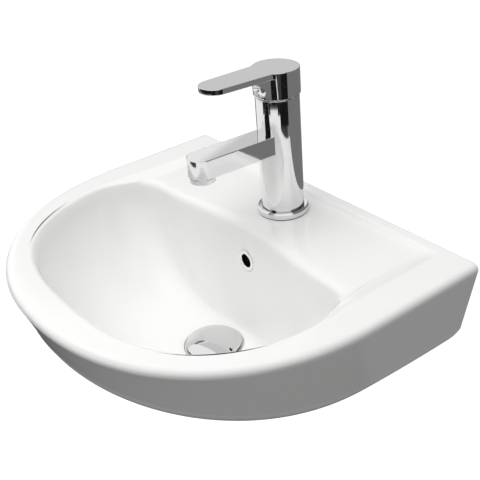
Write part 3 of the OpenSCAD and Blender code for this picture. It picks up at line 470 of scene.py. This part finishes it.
def link_mesh(name, points, faces, *materials):
    """A mesh object with its doubled points joined and its faces turned outward."""
    mesh = bpy.data.meshes.new(name)
    mesh.from_pydata(points, [], faces)
    made = bpy.data.objects.new(name, mesh)
    scene.collection.objects.link(made)
    for material in materials:
        mesh.materials.append(material)
    work = bmesh.new()
    work.from_mesh(mesh)
    bmesh.ops.remove_doubles(work, verts=work.verts, dist=1e-7)
    bmesh.ops.recalc_face_normals(work, faces=work.faces)
    work.to_mesh(mesh)
    work.free()
    return made


def carve(piece, cutter, how="DIFFERENCE"):
    """Cuts one closed mesh from another, or joins them, and removes the tool."""
    step = piece.modifiers.new("carve", "BOOLEAN")
    step.operation = how
    step.solver = "EXACT"
    step.object = cutter
    bpy.context.view_layer.update()
    done = bpy.data.meshes.new_from_object(piece.evaluated_get(bpy.context.evaluated_depsgraph_get()))
    piece.modifiers.clear()
    piece.data = done
    bpy.data.objects.remove(cutter)


def turned_rings(profile, centre, axis, sides):
    """Circles in metres for a profile (radius, height) in millimetres, about an axis through centre."""
    turn = Vector(axis).to_track_quat("Z", "Y").to_matrix()
    rings = []
    for r, level in profile:
        circle = [(r * cos(2 * pi * k / sides), r * sin(2 * pi * k / sides), level) for k in range(sides)]
        rings.append([tuple((turn @ Vector(q) + Vector(centre)) * MM) for q in circle])
    return rings


def round_tool(centre, axis, r, length, sides=64):
    """A closed cylinder, all in millimetres, from centre along axis, to cut with."""
    points, faces = loft(turned_rings(((r, 0), (r, length)), centre, axis, sides), False)
    faces += [tuple(range(sides - 1, -1, -1)), tuple(range(sides, 2 * sides))]
    return link_mesh("tool", points, faces)


def box_tool(low, high):
    """A closed box between two corners in millimetres, to cut with."""
    x0, y0, z0, x1, y1, z1 = (v * MM for v in (*low, *high))
    points = [(x, y, z) for z in (z0, z1) for x, y in ((x0, y0), (x1, y0), (x1, y1), (x0, y1))]
    faces = [(3, 2, 1, 0), (4, 5, 6, 7), (0, 1, 5, 4), (1, 2, 6, 5), (2, 3, 7, 6), (3, 0, 4, 7)]
    return link_mesh("tool", points, faces)


def prism_tool(outline, x0, x1):
    """A closed prism along X from a side view (y, z) in millimetres."""
    count = len(outline)
    points = [(x * MM, y * MM, z * MM) for x in (x0, x1) for y, z in outline]
    faces = [tuple(range(count - 1, -1, -1)), tuple(range(count, 2 * count))]
    faces += [(k, (k + 1) % count, (k + 1) % count + count, k + count) for k in range(count)]
    return link_mesh("tool", points, faces)


# Vitreous china under a clear glaze: dense white body, wet-looking glaze with a faint orange peel
# of about 6 mm, and a gloss that drifts a little every 110 mm
glazed_china, tree = blank_material("glazed_vitreous_china")
place = add(tree, "ShaderNodeTexCoord")
peel = add(tree, "ShaderNodeTexNoise", {
    "Vector": place.outputs["Object"], "Scale": 160.0, "Detail": 2.0, "Roughness": 0.4})
drift = add(tree, "ShaderNodeTexNoise", {"Vector": place.outputs["Object"], "Scale": 9.0, "Detail": 2.0})
tone = add(tree, "ShaderNodeMixRGB", {
    "Fac": drift.outputs["Fac"], "Color1": linear("f4f4f3"), "Color2": linear("f7f7f6")})
sheen = add(tree, "ShaderNodeMapRange", {"Value": drift.outputs["Fac"], "To Min": 0.09, "To Max": 0.14})
surface = add(tree, "ShaderNodeBump", {"Height": peel.outputs["Fac"], "Strength": 0.12, "Distance": 0.0001})
china = add(tree, "ShaderNodeBsdfPrincipled", {
    "Base Color": tone.outputs[0], "Roughness": sheen.outputs[0], "Normal": surface.outputs[0], "IOR": 1.5})
add(tree, "ShaderNodeOutputMaterial", {"Surface": china.outputs[0]})

# Bare fired china where no glaze was sprayed: chalky, slightly warm and finely pitted. The pits are
# drawn at 0.7 mm, coarser than real, so that they show
bare_china, tree = blank_material("unglazed_china")
place = add(tree, "ShaderNodeTexCoord")
grit = add(tree, "ShaderNodeTexNoise", {"Vector": place.outputs["Object"], "Scale": 1400.0, "Detail": 3.0})
mottle = add(tree, "ShaderNodeTexNoise", {"Vector": place.outputs["Object"], "Scale": 60.0, "Detail": 3.0})
tone = add(tree, "ShaderNodeMixRGB", {
    "Fac": mottle.outputs["Fac"], "Color1": linear("e9e6df"), "Color2": linear("dedad1")})
surface = add(tree, "ShaderNodeBump", {"Height": grit.outputs["Fac"], "Strength": 0.4, "Distance": 0.0002})
bare = add(tree, "ShaderNodeBsdfPrincipled", {
    "Base Color": tone.outputs[0], "Roughness": 0.85, "Normal": surface.outputs[0]})
add(tree, "ShaderNodeOutputMaterial", {"Surface": bare.outputs[0]})

overflow_y, overflow_z = -110.4, 22.0
points, faces = loft([whole(r) for r in rings], True)
basin = link_mesh("basin_china", points, faces, glazed_china, bare_china)

# The thick wall round the overflow's way, then the holes, and the way itself down to the waste
carve(basin, prism_tool([(-98, 37), (-84, 15), (-84, -77.5), (-93, -86.5), (-150, -86.5), (-150, -69.5),
                         (-114, -68.5), (-102, -23.5)], -22, 22), "UNION")
tap_hole_r, fixing_hole_r, fixing_x, waste_hole_r = 17.5, 8, 140, 23
carve(basin, round_tool((0, -55, 20), (0, 0, 1), tap_hole_r, 60))
for x in (-fixing_x, fixing_x):
    carve(basin, round_tool((x, 5, 0), (0, -1, 0), fixing_hole_r, 30, 48))
carve(basin, round_tool((0, waste_y, -100), (0, 0, 1), waste_hole_r, 60))
carve(basin, round_tool((0, overflow_y, overflow_z), (0, -1, 0), 12.9, 20, 72))
carve(basin, round_tool((0, -93, overflow_z), (0, -1, 0), 11, 30, 72))
carve(basin, box_tool((-12, -102, -80), (12, -93, 33)))
carve(basin, box_tool((-12, -165, -80), (12, -93, -72)))


def mottled(name, scale, detail, colours, roughness, bump, bump_depth, **more):
    """A dull material in which one noise varies both the colour and the surface."""
    made, tree = blank_material(name)
    place = add(tree, "ShaderNodeTexCoord")
    grain = add(tree, "ShaderNodeTexNoise", {
        "Vector": place.outputs["Object"], "Scale": scale, "Detail": detail})
    tone = add(tree, "ShaderNodeMixRGB", {
        "Fac": grain.outputs["Fac"], "Color1": linear(colours[0]), "Color2": linear(colours[1])})
    surface = add(tree, "ShaderNodeBump", {
        "Height": grain.outputs["Fac"], "Strength": bump, "Distance": bump_depth})
    dull = add(tree, "ShaderNodeBsdfPrincipled", {
        "Base Color": tone.outputs[0], "Roughness": roughness, "Normal": surface.outputs[0], **more})
    add(tree, "ShaderNodeOutputMaterial", {"Surface": dull.outputs[0]})
    return made


# Inside the overflow's way no glaze reaches: bare clay, its colour darkened as painted shade for the dark
# inside the channel, in 11 mm blotches
painted_shade_clay = mottled("bare_clay_painted_shade", 90.0, 4.0, ("33302c", "403c36"), 0.75, 0.4, 0.0003)
basin.data.materials.append(painted_shade_clay)


def smooth(piece, angle):
    """Smooth shading, with edges sharper than angle kept crisp."""
    piece.data.polygons.foreach_set("use_smooth", [True] * len(piece.data.polygons))
    piece.data.set_sharp_from_angle(angle=radians(angle))


smooth(basin, 40)
# The third slot holds the dark clay, painted shade for the overflow's channel
bare_slot, painted_shade_slot = 1, 2
for face in basin.data.polygons:
    x, y, z = face.center
    if y > -0.0008:
        face.material_index = bare_slot
    # Down the back and along the floor of the overflow's way: the dark clay, painted shade for the channel's
    # shadow
    down_the_back = -0.1095 < y < -0.0915 and -0.0805 < z < 0.0335
    along_the_floor = -0.166 < y < -0.0915 and -0.0805 < z < -0.0715
    if abs(x) < 0.0121 and (down_the_back or along_the_floor):
        face.material_index = painted_shade_slot


def fit(piece, body, finish, *stands_for):
    """The finished piece rides on its body, in place of these CAD nodes."""
    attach(piece, body)
    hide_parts(*stands_for)


fit(basin, "basin_set", "china", "basin")

# ---------------------------------------------------------------- Wall fixing
# Two hanger studs screwed into the wall, each with a flanged nylon sleeve that
# keeps steel off the china, a plain washer and a hexagon nut, all zinc plated.


def coat(material, *names):
    """CAD pieces that keep their own shape get this material."""
    for name in names:
        for place in nodes[name].material_slots:
            place.material = material


def thread_normal(tree, pitch, along, across, height, low, high):
    """The bump of a screw thread of real pitch, between two levels along one axis of the object.

    across holds, for each other axis, its number, where the thread stands on it, and whether the
    piece has one thread on each side of the middle.
    """
    place = add(tree, "ShaderNodeTexCoord")
    split = add(tree, "ShaderNodeSeparateXYZ", {0: place.outputs["Object"]})
    level = split.outputs[along]
    offsets = []
    for axis, centre, mirrored in across:
        value = split.outputs[axis]
        if mirrored:
            side = add(tree, "ShaderNodeMath", {0: value}, operation="SIGN")
            centre = add(tree, "ShaderNodeMath", {
                0: side.outputs[0], 1: centre}, operation="MULTIPLY").outputs[0]
        offset = add(tree, "ShaderNodeMath", {0: value, 1: centre}, operation="SUBTRACT")
        offsets.append(offset.outputs[0])
    turn = add(tree, "ShaderNodeMath", {0: offsets[0], 1: offsets[1]}, operation="ARCTAN2")
    share = add(tree, "ShaderNodeMath", {0: turn.outputs[0], 1: pitch / (2 * pi)}, operation="MULTIPLY")
    climb = add(tree, "ShaderNodeMath", {0: level, 1: share.outputs[0]}, operation="ADD")
    ridge = add(tree, "ShaderNodeMath", {0: climb.outputs[0], 1: pitch / 2}, operation="PINGPONG")
    above = add(tree, "ShaderNodeMath", {0: level, 1: low}, operation="GREATER_THAN")
    below = add(tree, "ShaderNodeMath", {0: level, 1: high}, operation="LESS_THAN")
    inside = add(tree, "ShaderNodeMath", {0: above.outputs[0], 1: below.outputs[0]}, operation="MULTIPLY")
    depth = add(tree, "ShaderNodeMath", {0: ridge.outputs[0], 1: inside.outputs[0]}, operation="MULTIPLY")
    bump = add(tree, "ShaderNodeBump", {"Height": depth.outputs[0], "Strength": 1.0, "Distance": height})
    return bump.outputs[0]


def clouded_metal(name, scale, detail, colours, gloss, stretch=(1, 1, 1), threads=None):
    """A metal in which one noise varies both the colour and the gloss. Threads, if any, are a bump."""
    made, tree = blank_material(name)
    place = add(tree, "ShaderNodeTexCoord")
    drawn = add(tree, "ShaderNodeMapping", {"Vector": place.outputs["Object"], "Scale": stretch})
    cloud = add(tree, "ShaderNodeTexNoise", {"Vector": drawn.outputs[0], "Scale": scale, "Detail": detail})
    tone = add(tree, "ShaderNodeMixRGB", {
        "Fac": cloud.outputs["Fac"], "Color1": linear(colours[0]), "Color2": linear(colours[1])})
    rough = add(tree, "ShaderNodeMapRange", {
        "Value": cloud.outputs["Fac"], "To Min": gloss[0], "To Max": gloss[1]})
    metal = add(tree, "ShaderNodeBsdfPrincipled", {
        "Base Color": tone.outputs[0], "Metallic": 1.0, "Roughness": rough.outputs[0]})
    if threads:
        tree.links.new(thread_normal(tree, *threads), metal.inputs["Normal"])
    add(tree, "ShaderNodeOutputMaterial", {"Surface": metal.outputs[0]})
    return made


def plated_steel(name, threads=None):
    """Zinc plating: cool grey, semi-bright, cloudy every 6 mm where the passivation has dried unevenly."""
    return clouded_metal(name, 180.0, 4.0, ("c4c7cb", "aeb1b3"), (0.24, 0.42), threads=threads)


zinc_steel = plated_steel("zinc_plated_steel")
m10_pitch, thread_depth = 0.0015, 0.9
zinc_stud = plated_steel("zinc_plated_m10_thread", (
    m10_pitch, 1, ((0, 0.14, True), (2, 0.0, False)), thread_depth, -0.036, 0.06))

# Moulded nylon: ivory, waxy, slightly translucent, with a spark-eroded mould texture, drawn at 1.1 mm
# so that it shows
nylon = mottled("moulded_nylon", 900.0, 2.0, ("eeebe2", "e4e0d4"), 0.42, 0.15, 0.0001, **{
    "Subsurface Weight": 0.15, "Subsurface Scale": 0.003})

coat(zinc_stud, "wall_studs")
coat(nylon, "stud_sleeves")
coat(zinc_steel, "stud_washers", "stud_nuts")

# ---------------------------------------------------------------- Overflow
# A pressed brass ring, chrome plated, pushed into the overflow hole. Its front
# edge is rolled over and its mouth is drawn in.


def eased(corners, steps=5):
    """A closed outline with each corner (x, y, radius) rounded."""
    line = []
    for i, (x, y, r) in enumerate(corners):
        here = Vector((x, y))
        if not r:
            line.append((x, y))
            continue
        a = Vector(corners[i - 1][:2]) - here
        b = Vector(corners[(i + 1) % len(corners)][:2]) - here
        half = a.angle(b) / 2
        reach = min(r / tan(half), a.length * 0.49, b.length * 0.49)
        centre = here + (a.normalized() + b.normalized()).normalized() * reach / cos(half)
        start, end = here + a.normalized() * reach - centre, here + b.normalized() * reach - centre
        sweep = pi - 2 * half
        for s in range(steps + 1):
            t = s / steps
            p = centre + (start * sin((1 - t) * sweep) + end * sin(t * sweep)) / sin(sweep)
            line.append((p.x, p.y))
    return line


def lathe(name, profile, centre, material, axis=(0, 0, 1), sides=128):
    """A turned piece from a closed profile (radius, height) in millimetres."""
    points, faces = loft(turned_rings(profile, centre, axis, sides), True)
    return link_mesh(name, points, faces, material)


def crisp(piece, angle=32):
    """Smooth shading that keeps flat faces flat next to their small rounded edges."""
    smooth(piece, angle)
    step = piece.modifiers.new("flat_faces", "WEIGHTED_NORMAL")
    step.keep_sharp = True


# Chrome plate on polished brass: a bright neutral mirror, with water marks of about 18 mm that show
# only as a trace of haze in its gloss
chrome, tree = blank_material("polished_chrome_plate")
place = add(tree, "ShaderNodeTexCoord")
marks = add(tree, "ShaderNodeTexNoise", {
    "Vector": place.outputs["Object"], "Scale": 55.0, "Detail": 3.0, "Roughness": 0.6})
haze = add(tree, "ShaderNodeMapRange", {
    "Value": marks.outputs["Fac"], "From Min": 0.35, "From Max": 0.75, "To Min": 0.03, "To Max": 0.07})
tint = add(tree, "ShaderNodeMixRGB", {
    "Fac": marks.outputs["Fac"], "Color1": linear("e8e8e8"), "Color2": linear("e3e3e4")})
plate = add(tree, "ShaderNodeBsdfPrincipled", {
    "Base Color": tint.outputs[0], "Metallic": 1.0, "Roughness": haze.outputs[0]})
add(tree, "ShaderNodeOutputMaterial", {"Surface": plate.outputs[0]})

overflow_profile = eased([
    (7.8, -1.6, 0.7), (12.6, -1.6, 0.9), (12.6, 0, 0), (10.9, 0, 0), (10.9, 7, 0.4), (8.6, 7, 0),
    (7.8, 5, 0),
])
overflow_ring = lathe("overflow_trim", [(r, -h) for r, h in overflow_profile],
                      (0, overflow_y, overflow_z), chrome, (0, -1, 0))
crisp(overflow_ring)
fit(overflow_ring, "basin_set", "chrome", "overflow_ring")

# ---------------------------------------------------------------- Waste
# A slotted brass outlet with its rubber seals and backnut, and a click plug: a
# domed chrome cap on a spindle that rides in a barrel screwed in the cross bar.
outlet_z = -66.5

# Moulded EPDM rubber: near black, matt, with a trace of mould bloom in 4 mm patches
rubber = mottled("epdm_rubber", 260.0, 4.0, ("1d1e1f", "2c2d2e"), 0.68, 0.25, 0.0001)

# Free-cutting brass straight from the lathe: yellow, with turning lines 0.2 mm apart
brass = clouded_metal("turned_brass", 1.0, 2.0, ("d8b56a", "bf9850"), (0.2, 0.38), (60, 60, 5200))

# The outlet's tail: chrome plate over a cut pipe thread of eleven turns to the inch, a little hazy
pipe_pitch, pipe_thread_depth = 0.00231, 1.4
tail_chrome = clouded_metal(
    "chrome_plated_pipe_thread", 120.0, 3.0, ("dcdee0", "dcdee0"), (0.06, 0.16),
    threads=(pipe_pitch, 2, ((0, 0.0, False), (1, waste_y * MM, False)), pipe_thread_depth, -0.135, -0.0905))

# Moulded acetal: bright white, dense and slippery, a little glossier than the nylon. Its mould
# texture is drawn at 1.4 mm so that it shows
acetal = mottled("white_acetal", 700.0, 2.0, ("e9e9e6", "dededa"), 0.32, 0.1, 0.0001)

# Drawn stainless wire and turned stainless pins: grey and satin, with a grain drawn at 0.7 mm so that
# it shows
stainless = clouded_metal("drawn_stainless_steel", 1500.0, 2.0, ("b9babb", "a5a6a8"), (0.18, 0.34))

coat(tail_chrome, "waste_body")
coat(rubber, "waste_top_seal", "waste_bottom_seal", "cap_seal")
coat(brass, "waste_backnut")
coat(acetal, "click_housing")
coat(stainless, "click_spindle", "click_spring")

plug_r, dome_h, dome_foot = 31, 4.8, 5.9
dome_radius = (plug_r ** 2 + dome_h ** 2) / (2 * dome_h)
cap_profile = [(0, 8.2), (2.55, 8.2), (2.55, 4.7), (30.5, 4.7), (30.85, 4.85), (plug_r, 5.2),
               (plug_r, 5.55), (30.93, 5.8)]
for k in range(1, 25):
    r = 30.8 * (1 - k / 24)
    cap_profile.append((r, dome_foot + dome_h - dome_radius + sqrt(dome_radius ** 2 - r * r)))
waste_cap = lathe("waste_cap_dome", cap_profile, (0, waste_y, outlet_z), chrome, sides=192)
crisp(waste_cap)
fit(waste_cap, "waste_plug", "chrome", "waste_cap")

# ---------------------------------------------------------------- Mixer body
# One chrome-plated casting: an upright round body and a flat-sided spout with a
# round tip that rises slightly. It stands in a bevelled ring on a thin gasket.
tap_x, tap_y, tap_z = 0.0, -55.0, 65.0


def beside_tap(points):
    """Points given from the tap's foot, in the basin's frame."""
    return [(x, y + tap_y, z + tap_z) for x, y, z in points]


def outline_normals(outline):
    """The normals of a closed outline, which point outward if it runs anticlockwise."""
    normals = []
    for k in range(len(outline)):
        along = Vector(outline[(k + 1) % len(outline)]) - Vector(outline[k - 1])
        normals.append(Vector((along.y, -along.x)).normalized())
    return normals


spout_half, spout_reach, spout_from = 14.5, 101, 8
spout_tilt = radians(1.8)
spout_rise = tan(spout_tilt)
spout_low = 75 / cos(spout_tilt)
spout_top = 95.6 / cos(spout_tilt)
spout_run = spout_reach - spout_from
spout_side = [(spout_half, -spout_from - spout_run * k / 12) for k in range(12)]
tip = [(spout_half * cos(radians(a)), -spout_reach + spout_half * sin(radians(a)))
       for a in range(0, -181, -4)]
spout_outline = spout_side + tip + [(-x, y) for x, y in reversed(spout_side)]
spout_outline.reverse()
spout_normals = outline_normals(spout_outline)
spout_rings = []
for flat_z, ease, way in ((spout_low, 0.7, 1), (spout_top, 0.9, -1)):
    for k in range(5)[::way]:
        w = radians(22.5 * k)
        inset, z = ease * (1 - sin(w)), flat_z + way * ease * (1 - cos(w))
        spout_rings.append([(x - n.x * inset, y - n.y * inset, z - y * spout_rise)
                            for (x, y), n in zip(spout_outline, spout_normals)])
points, faces = loft([[tuple(v * MM for v in q) for q in beside_tap(r)] for r in spout_rings], False)
count = len(spout_outline)
faces += [tuple(range(count - 1, -1, -1)), tuple(range(len(points) - count, len(points)))]
spout = link_mesh("spout_arm", points, faces, chrome)

body_profile = eased([
    (0, 1.2, 0), (19.95, 1.2, 0.3), (19.95, 7.5, 0), (21.2, 7.6, 0), (21.2, 8.6, 0), (23.2, 8.6, 0.3),
    (23.2, 134.5, 0.5), (0, 134.5, 0),
])
mixer = lathe("mixer_casting", body_profile, (tap_x, tap_y, tap_z), chrome, sides=256)
carve(mixer, spout, "UNION")

# The cartridge's seat and thread, the two inlets and waterways, the rod's hole and the aerator's seat
carve(mixer, round_tool((0, tap_y, tap_z + 97.5), (0, 0, 1), 17.45, 60, 96))
carve(mixer, round_tool((0, tap_y, tap_z + 124), (0, 0, 1), 19.5, 40, 96))
for x in (-8, 8):
    carve(mixer, round_tool((x, tap_y + 4, tap_z - 5), (0, 0, 1), 4.5, 18.2, 48))
    carve(mixer, round_tool((x, tap_y + 4, tap_z + 5), (0, 0, 1), 3.5, 120, 32))
carve(mixer, round_tool((0, tap_y - 13, tap_z - 5), (0, 0, 1), 4.05, 18.2, 48))
carve(mixer, round_tool((0, tap_y - spout_reach, tap_z + 60), (0, 0, 1), 12.05, 24.67, 96))
crisp(mixer)
fit(mixer, "basin_set", "chrome", "tap_body")

base_profile = eased([(20, 1, 0), (28, 1, 0.3), (28, 6.1, 0.6), (26.8, 7.6, 0.5), (20, 7.6, 0.2)])
base_ring = lathe("base_ring_trim", base_profile, (tap_x, tap_y, tap_z), chrome, sides=192)
crisp(base_ring)
fit(base_ring, "basin_set", "chrome", "tap_base_ring")
coat(rubber, "tap_base_seal")

# ---------------------------------------------------------------- Tap fixing
# The tap is drawn down from below by one M8 rod, with a rubber and a steel
# horseshoe and a long brass nut.
m8_pitch = 0.00125
zinc_rod = plated_steel("zinc_plated_m8_thread", (
    m8_pitch, 2, ((0, 0.0, False), (1, -0.068, False)), thread_depth, -0.01, 0.08))
coat(zinc_rod, "tap_stud")
coat(rubber, "horseshoe_gasket")
coat(zinc_steel, "horseshoe_plate")
coat(brass, "tap_nut")

# ---------------------------------------------------------------- Cartridge
# The ceramic disc cartridge: plastic foot with three seals, two lapped discs,
# carrier, casing, turret, pin and stem, held down by a threaded brass ring.

# Glass-filled grey plastic: mid grey and matt, with short fibres of about 1 mm showing faintly
grey_plastic = mottled("glass_filled_grey_plastic", 1100.0, 4.0, ("6d7073", "85888b"), 0.5, 0.2, 0.0001)

# Lapped alumina: warm white and satin, with a sparkle of crystals drawn at 0.4 mm so that it shows
alumina, tree = blank_material("lapped_alumina")
place = add(tree, "ShaderNodeTexCoord")
crystal = add(tree, "ShaderNodeTexVoronoi", {"Vector": place.outputs["Object"], "Scale": 2600.0})
tone = add(tree, "ShaderNodeMixRGB", {
    "Fac": crystal.outputs["Distance"], "Color1": linear("f1ede3"), "Color2": linear("e6e1d5")})
satin = add(tree, "ShaderNodeMapRange", {
    "Value": crystal.outputs["Distance"], "To Min": 0.16, "To Max": 0.3})
oxide = add(tree, "ShaderNodeBsdfPrincipled", {
    "Base Color": tone.outputs[0], "Roughness": satin.outputs[0]})
add(tree, "ShaderNodeOutputMaterial", {"Surface": oxide.outputs[0]})

coat(grey_plastic, "cartridge_base", "disc_carrier")
coat(rubber, "cartridge_seals")
coat(alumina, "fixed_disc", "moving_disc")
coat(acetal, "cartridge_shell", "turret")
coat(stainless, "lever_pin", "lever_stem")
coat(brass, "cartridge_nut")

collar_profile = eased([
    (17.5, 130, 0), (19.45, 130, 0), (19.45, 134.5, 0), (20.7, 134.5, 0.1), (20.7, 135.2, 0.3),
    (20.1, 135.25, 0), (14.4, 138.5, 0.3), (13.2, 138.5, 0.3), (13.2, 137.3, 0), (17.5, 134.5, 0),
], 3)
collar = lathe("trim_collar_cone", collar_profile, (tap_x, tap_y, tap_z), chrome, sides=160)
crisp(collar)
fit(collar, "basin_set", "chrome", "trim_collar")

# ---------------------------------------------------------------- Handle
# A chrome-plated zinc casting: a cap over the cartridge that runs out in one
# flat, slightly rising lever. A scoop under its root holds the grub screw's plug.
cap_r, lever_drop = 24.7, 6.0
tip_r, tip_y = 16, -76.3
rise = tan(radians(1.7))
top_z = 163.799

# The outline from above: the round cap, a fillet, the lever's straight side and its round tip
root = Vector((18, -16))
slope = (Vector((tip_r, tip_y)) - root).normalized()
outward = Vector((-slope.y, slope.x))
if outward.x < 0:
    outward = -outward
fillet_r = 8.0
from_root = root + outward * fillet_r
reach = from_root.dot(slope)
far = reach * reach - from_root.length_squared + (cap_r + fillet_r) ** 2
hollow = from_root + slope * (sqrt(far) - reach)
joint = hollow * cap_r / (cap_r + fillet_r)
leave = hollow - outward * fillet_r

joint_angle = atan2(joint.y, joint.x)
round_part = [(cap_r * cos(a), cap_r * sin(a))
              for a in (mix(pi / 2, joint_angle, k / 72) for k in range(73))]
a0 = atan2(joint.y - hollow.y, joint.x - hollow.x) % (2 * pi)
a1 = atan2(leave.y - hollow.y, leave.x - hollow.x) % (2 * pi)
fillet_part = [(hollow.x + fillet_r * cos(a), hollow.y + fillet_r * sin(a))
               for a in (mix(a0, a1, k / 10) for k in range(1, 11))]
straight_part = [(mix(leave.x, tip_r, k / 20), mix(leave.y, tip_y, k / 20)) for k in range(1, 20)]
tip_part = [(tip_r * cos(a), tip_y + tip_r * sin(a)) for a in (mix(0, -pi / 2, k / 28) for k in range(29))]
half = round_part + fillet_part + straight_part + tip_part
outline = half + [(-x, y) for x, y in half[-2:0:-1]]
count = len(outline)
joint_k = len(round_part) - 1
joint_l = count - joint_k
normals = [-n for n in outline_normals(outline)]  # this outline runs clockwise


def top_at(y):
    """The height of the handle's top, which rises towards the lever's tip."""
    return top_z - y * rise


points, index = [], {}


def mark(key, x, y, z):
    """Adds a point that faces can be given by its key."""
    index[key] = len(points)
    points.append((x, y, z))


easing, easing_r, low_easing_r = 5, 0.4, 0.8
for k, ((x, y), n) in enumerate(zip(outline, normals)):
    for s in range(easing + 1):
        w = pi / 2 * s / easing
        inset = easing_r * (1 - sin(w))
        mark(("top", s, k), x - n.x * inset, y - n.y * inset, top_at(y) - easing_r * (1 - cos(w)))
lever_keys = list(range(joint_k, joint_l + 1))
fade = len(fillet_part)
for k in lever_keys:
    x, y = outline[k]
    n = normals[k]
    near = min(k - joint_k, joint_l - k) / fade
    small = low_easing_r * min(1, near)
    for s in range(4):
        w = pi / 2 * s / 3
        if near == 0 and s:
            index[("low", s, k)] = index[("low", 0, k)]
            continue
        inset = small * (1 - cos(w))
        mark(("low", s, k), x - n.x * inset, y - n.y * inset,
             top_at(y) - lever_drop + small * (1 - sin(w)))
front = 48
arc = [(cap_r * cos(a), cap_r * sin(a))
       for a in (mix(joint_angle, -pi - joint_angle, k / front) for k in range(1, front))]
for k, (x, y) in enumerate(arc):
    mark(("under", k), x, y, top_at(y) - lever_drop)
circle = outline[:joint_k + 1] + arc + outline[joint_l:]
around = len(circle)
foot_levels = ((cap_r, 136.4), (24.58, 136.12), (24.3, 136))
for k, (x, y) in enumerate(circle):
    for s, (r, z) in enumerate(foot_levels):
        mark(("foot", s, k), x * r / cap_r, y * r / cap_r, z)

faces = []


def skin(*keys):
    """Adds a face on the points with these keys. A point with two keys counts once."""
    faces.append(list(dict.fromkeys(index[key] for key in keys)))


for k in range(count):
    n = (k + 1) % count
    for s in range(easing):
        skin(("top", s, k), ("top", s, n), ("top", s + 1, n), ("top", s + 1, k))
skin(*(("top", 0, k) for k in range(count)))
for k in range(joint_k, joint_l):
    skin(("top", easing, k), ("top", easing, k + 1), ("low", 0, k + 1), ("low", 0, k))
    for s in range(3):
        skin(("low", s, k), ("low", s, k + 1), ("low", s + 1, k + 1), ("low", s + 1, k))
skin(*(("low", 3, k) for k in lever_keys), *(("under", k) for k in range(front - 2, -1, -1)))


def wall_top(k):
    """The upper end of the cap's wall at point k of its circle, which under the lever is its underside."""
    if k == joint_k:
        return [("low", 0, joint_k)]
    if k == joint_k + front:
        return [("low", 0, joint_l)]
    if k < joint_k:
        return [("top", easing, k)]
    if k > joint_k + front:
        return [("top", easing, joint_l + k - joint_k - front)]
    return [("under", k - joint_k - 1)]


for k in range(around):
    n = (k + 1) % around
    upper_k, upper_n = wall_top(k), wall_top(n)
    if n == joint_k:
        upper_n = [("top", easing, joint_k), ("low", 0, joint_k)]
    if k == joint_k + front:
        upper_k = [("low", 0, joint_l), ("top", easing, joint_l)]
    skin(("foot", 0, k), *upper_k, *upper_n, ("foot", 0, n))
    for s in range(2):
        skin(("foot", s, k), ("foot", s, n), ("foot", s + 1, n), ("foot", s + 1, k))
skin(*(("foot", 2, k) for k in range(around - 1, -1, -1)))
handle = link_mesh("lever_handle", [tuple(v * MM for v in q) for q in beside_tap(points)], faces, chrome)
pin_z = 126


def domed(wall_top_z, dome_r, start):
    """The profile of a hollow with an upright wall and a dome about the lever's pin."""
    dome = [(dome_r * cos(a), pin_z + dome_r * sin(a))
            for a in (mix(start, pi / 2, k / 20) for k in range(1, 21))]
    return [(0, 100), (23.0, 100), (23.0, wall_top_z)] + dome


# Hollowed over the domed collar, deeper behind the pin so that it clears the collar when lifted.
# Inside are the stem's socket in its block, the scoop, and the holes for grub screw and plug
carve(handle, lathe("tool", domed(127.52, 23.05, 0.0661), (tap_x, tap_y, tap_z), chrome, sides=96))
rear_dome = lathe("tool", domed(136.04, 25.1, 0.412), (tap_x, tap_y, tap_z), chrome, sides=96)
carve(rear_dome, box_tool((-40, tap_y - 40, tap_z + 90), (40, tap_y, tap_z + 170)))
carve(handle, rear_dome)
carve(handle, box_tool((-5.5, tap_y - 22, tap_z + 140.2), (5.5, tap_y - 4.05, tap_z + 158)), "UNION")
carve(handle, box_tool((-4.05, tap_y - 4.05, tap_z + pin_z), (4.05, tap_y + 4.05, tap_z + 159.2)))
scoop = [(0, -10.3)] + [(6.3 * sin(a), -4 - 6.3 * cos(a)) for a in (pi / 2 * k / 10 for k in range(1, 11))]
scoop += [(r, -h) for r, h in reversed(scoop)]
grub_z = tap_z + 143.5
carve(handle, lathe("tool", scoop, (0, tap_y - 24.4, grub_z), chrome, (1, 0, 0), sides=48))
carve(handle, round_tool((0, tap_y, grub_z), (0, -1, 0), 2.55, 25, 40))
carve(handle, round_tool((0, tap_y - 15.5, grub_z), (0, -1, 0), 3.25, 8, 48))
crisp(handle)
fit(handle, "mixer_lever", "chrome", "handle")

# Black oxide on alloy steel: near black, oiled and satin, with a grain drawn at 1.2 mm so that it shows
black_steel = clouded_metal("black_oxide_steel", 800.0, 3.0, ("2e3033", "3b3c3e"), (0.3, 0.5))
coat(black_steel, "grub_screw")

plug_profile = eased([(0, 0, 0), (3.2, 0, 0), (3.2, 3.4, 0.5), (0, 3.4, 0)])
plug = lathe("index_plug_face", plug_profile, (0, tap_y - 15.5, grub_z), grey_plastic, (0, -1, 0), sides=64)
crisp(plug)
fit(plug, "mixer_lever", "plastic_grey", "index_plug")

# ---------------------------------------------------------------- Aerator
# A chrome collar screwed up into the spout's tip, with a plastic jet grid and a
# rubber washer inside.
aerator_profile = eased([
    (9, 72.17, 0.3), (13.2, 72.17, 0.7), (13.2, 77.17, 0.3), (12, 77.17, 0), (12, 83.17, 0),
    (10.4, 83.17, 0), (10.4, 74.17, 0), (9, 74.17, 0),
])
aerator = lathe("aerator_collar", aerator_profile, (0, tap_y - spout_reach, tap_z), chrome, sides=128)
crisp(aerator)
fit(aerator, "basin_set", "chrome", "aerator_housing")
coat(acetal, "aerator_insert")
coat(rubber, "aerator_seal")
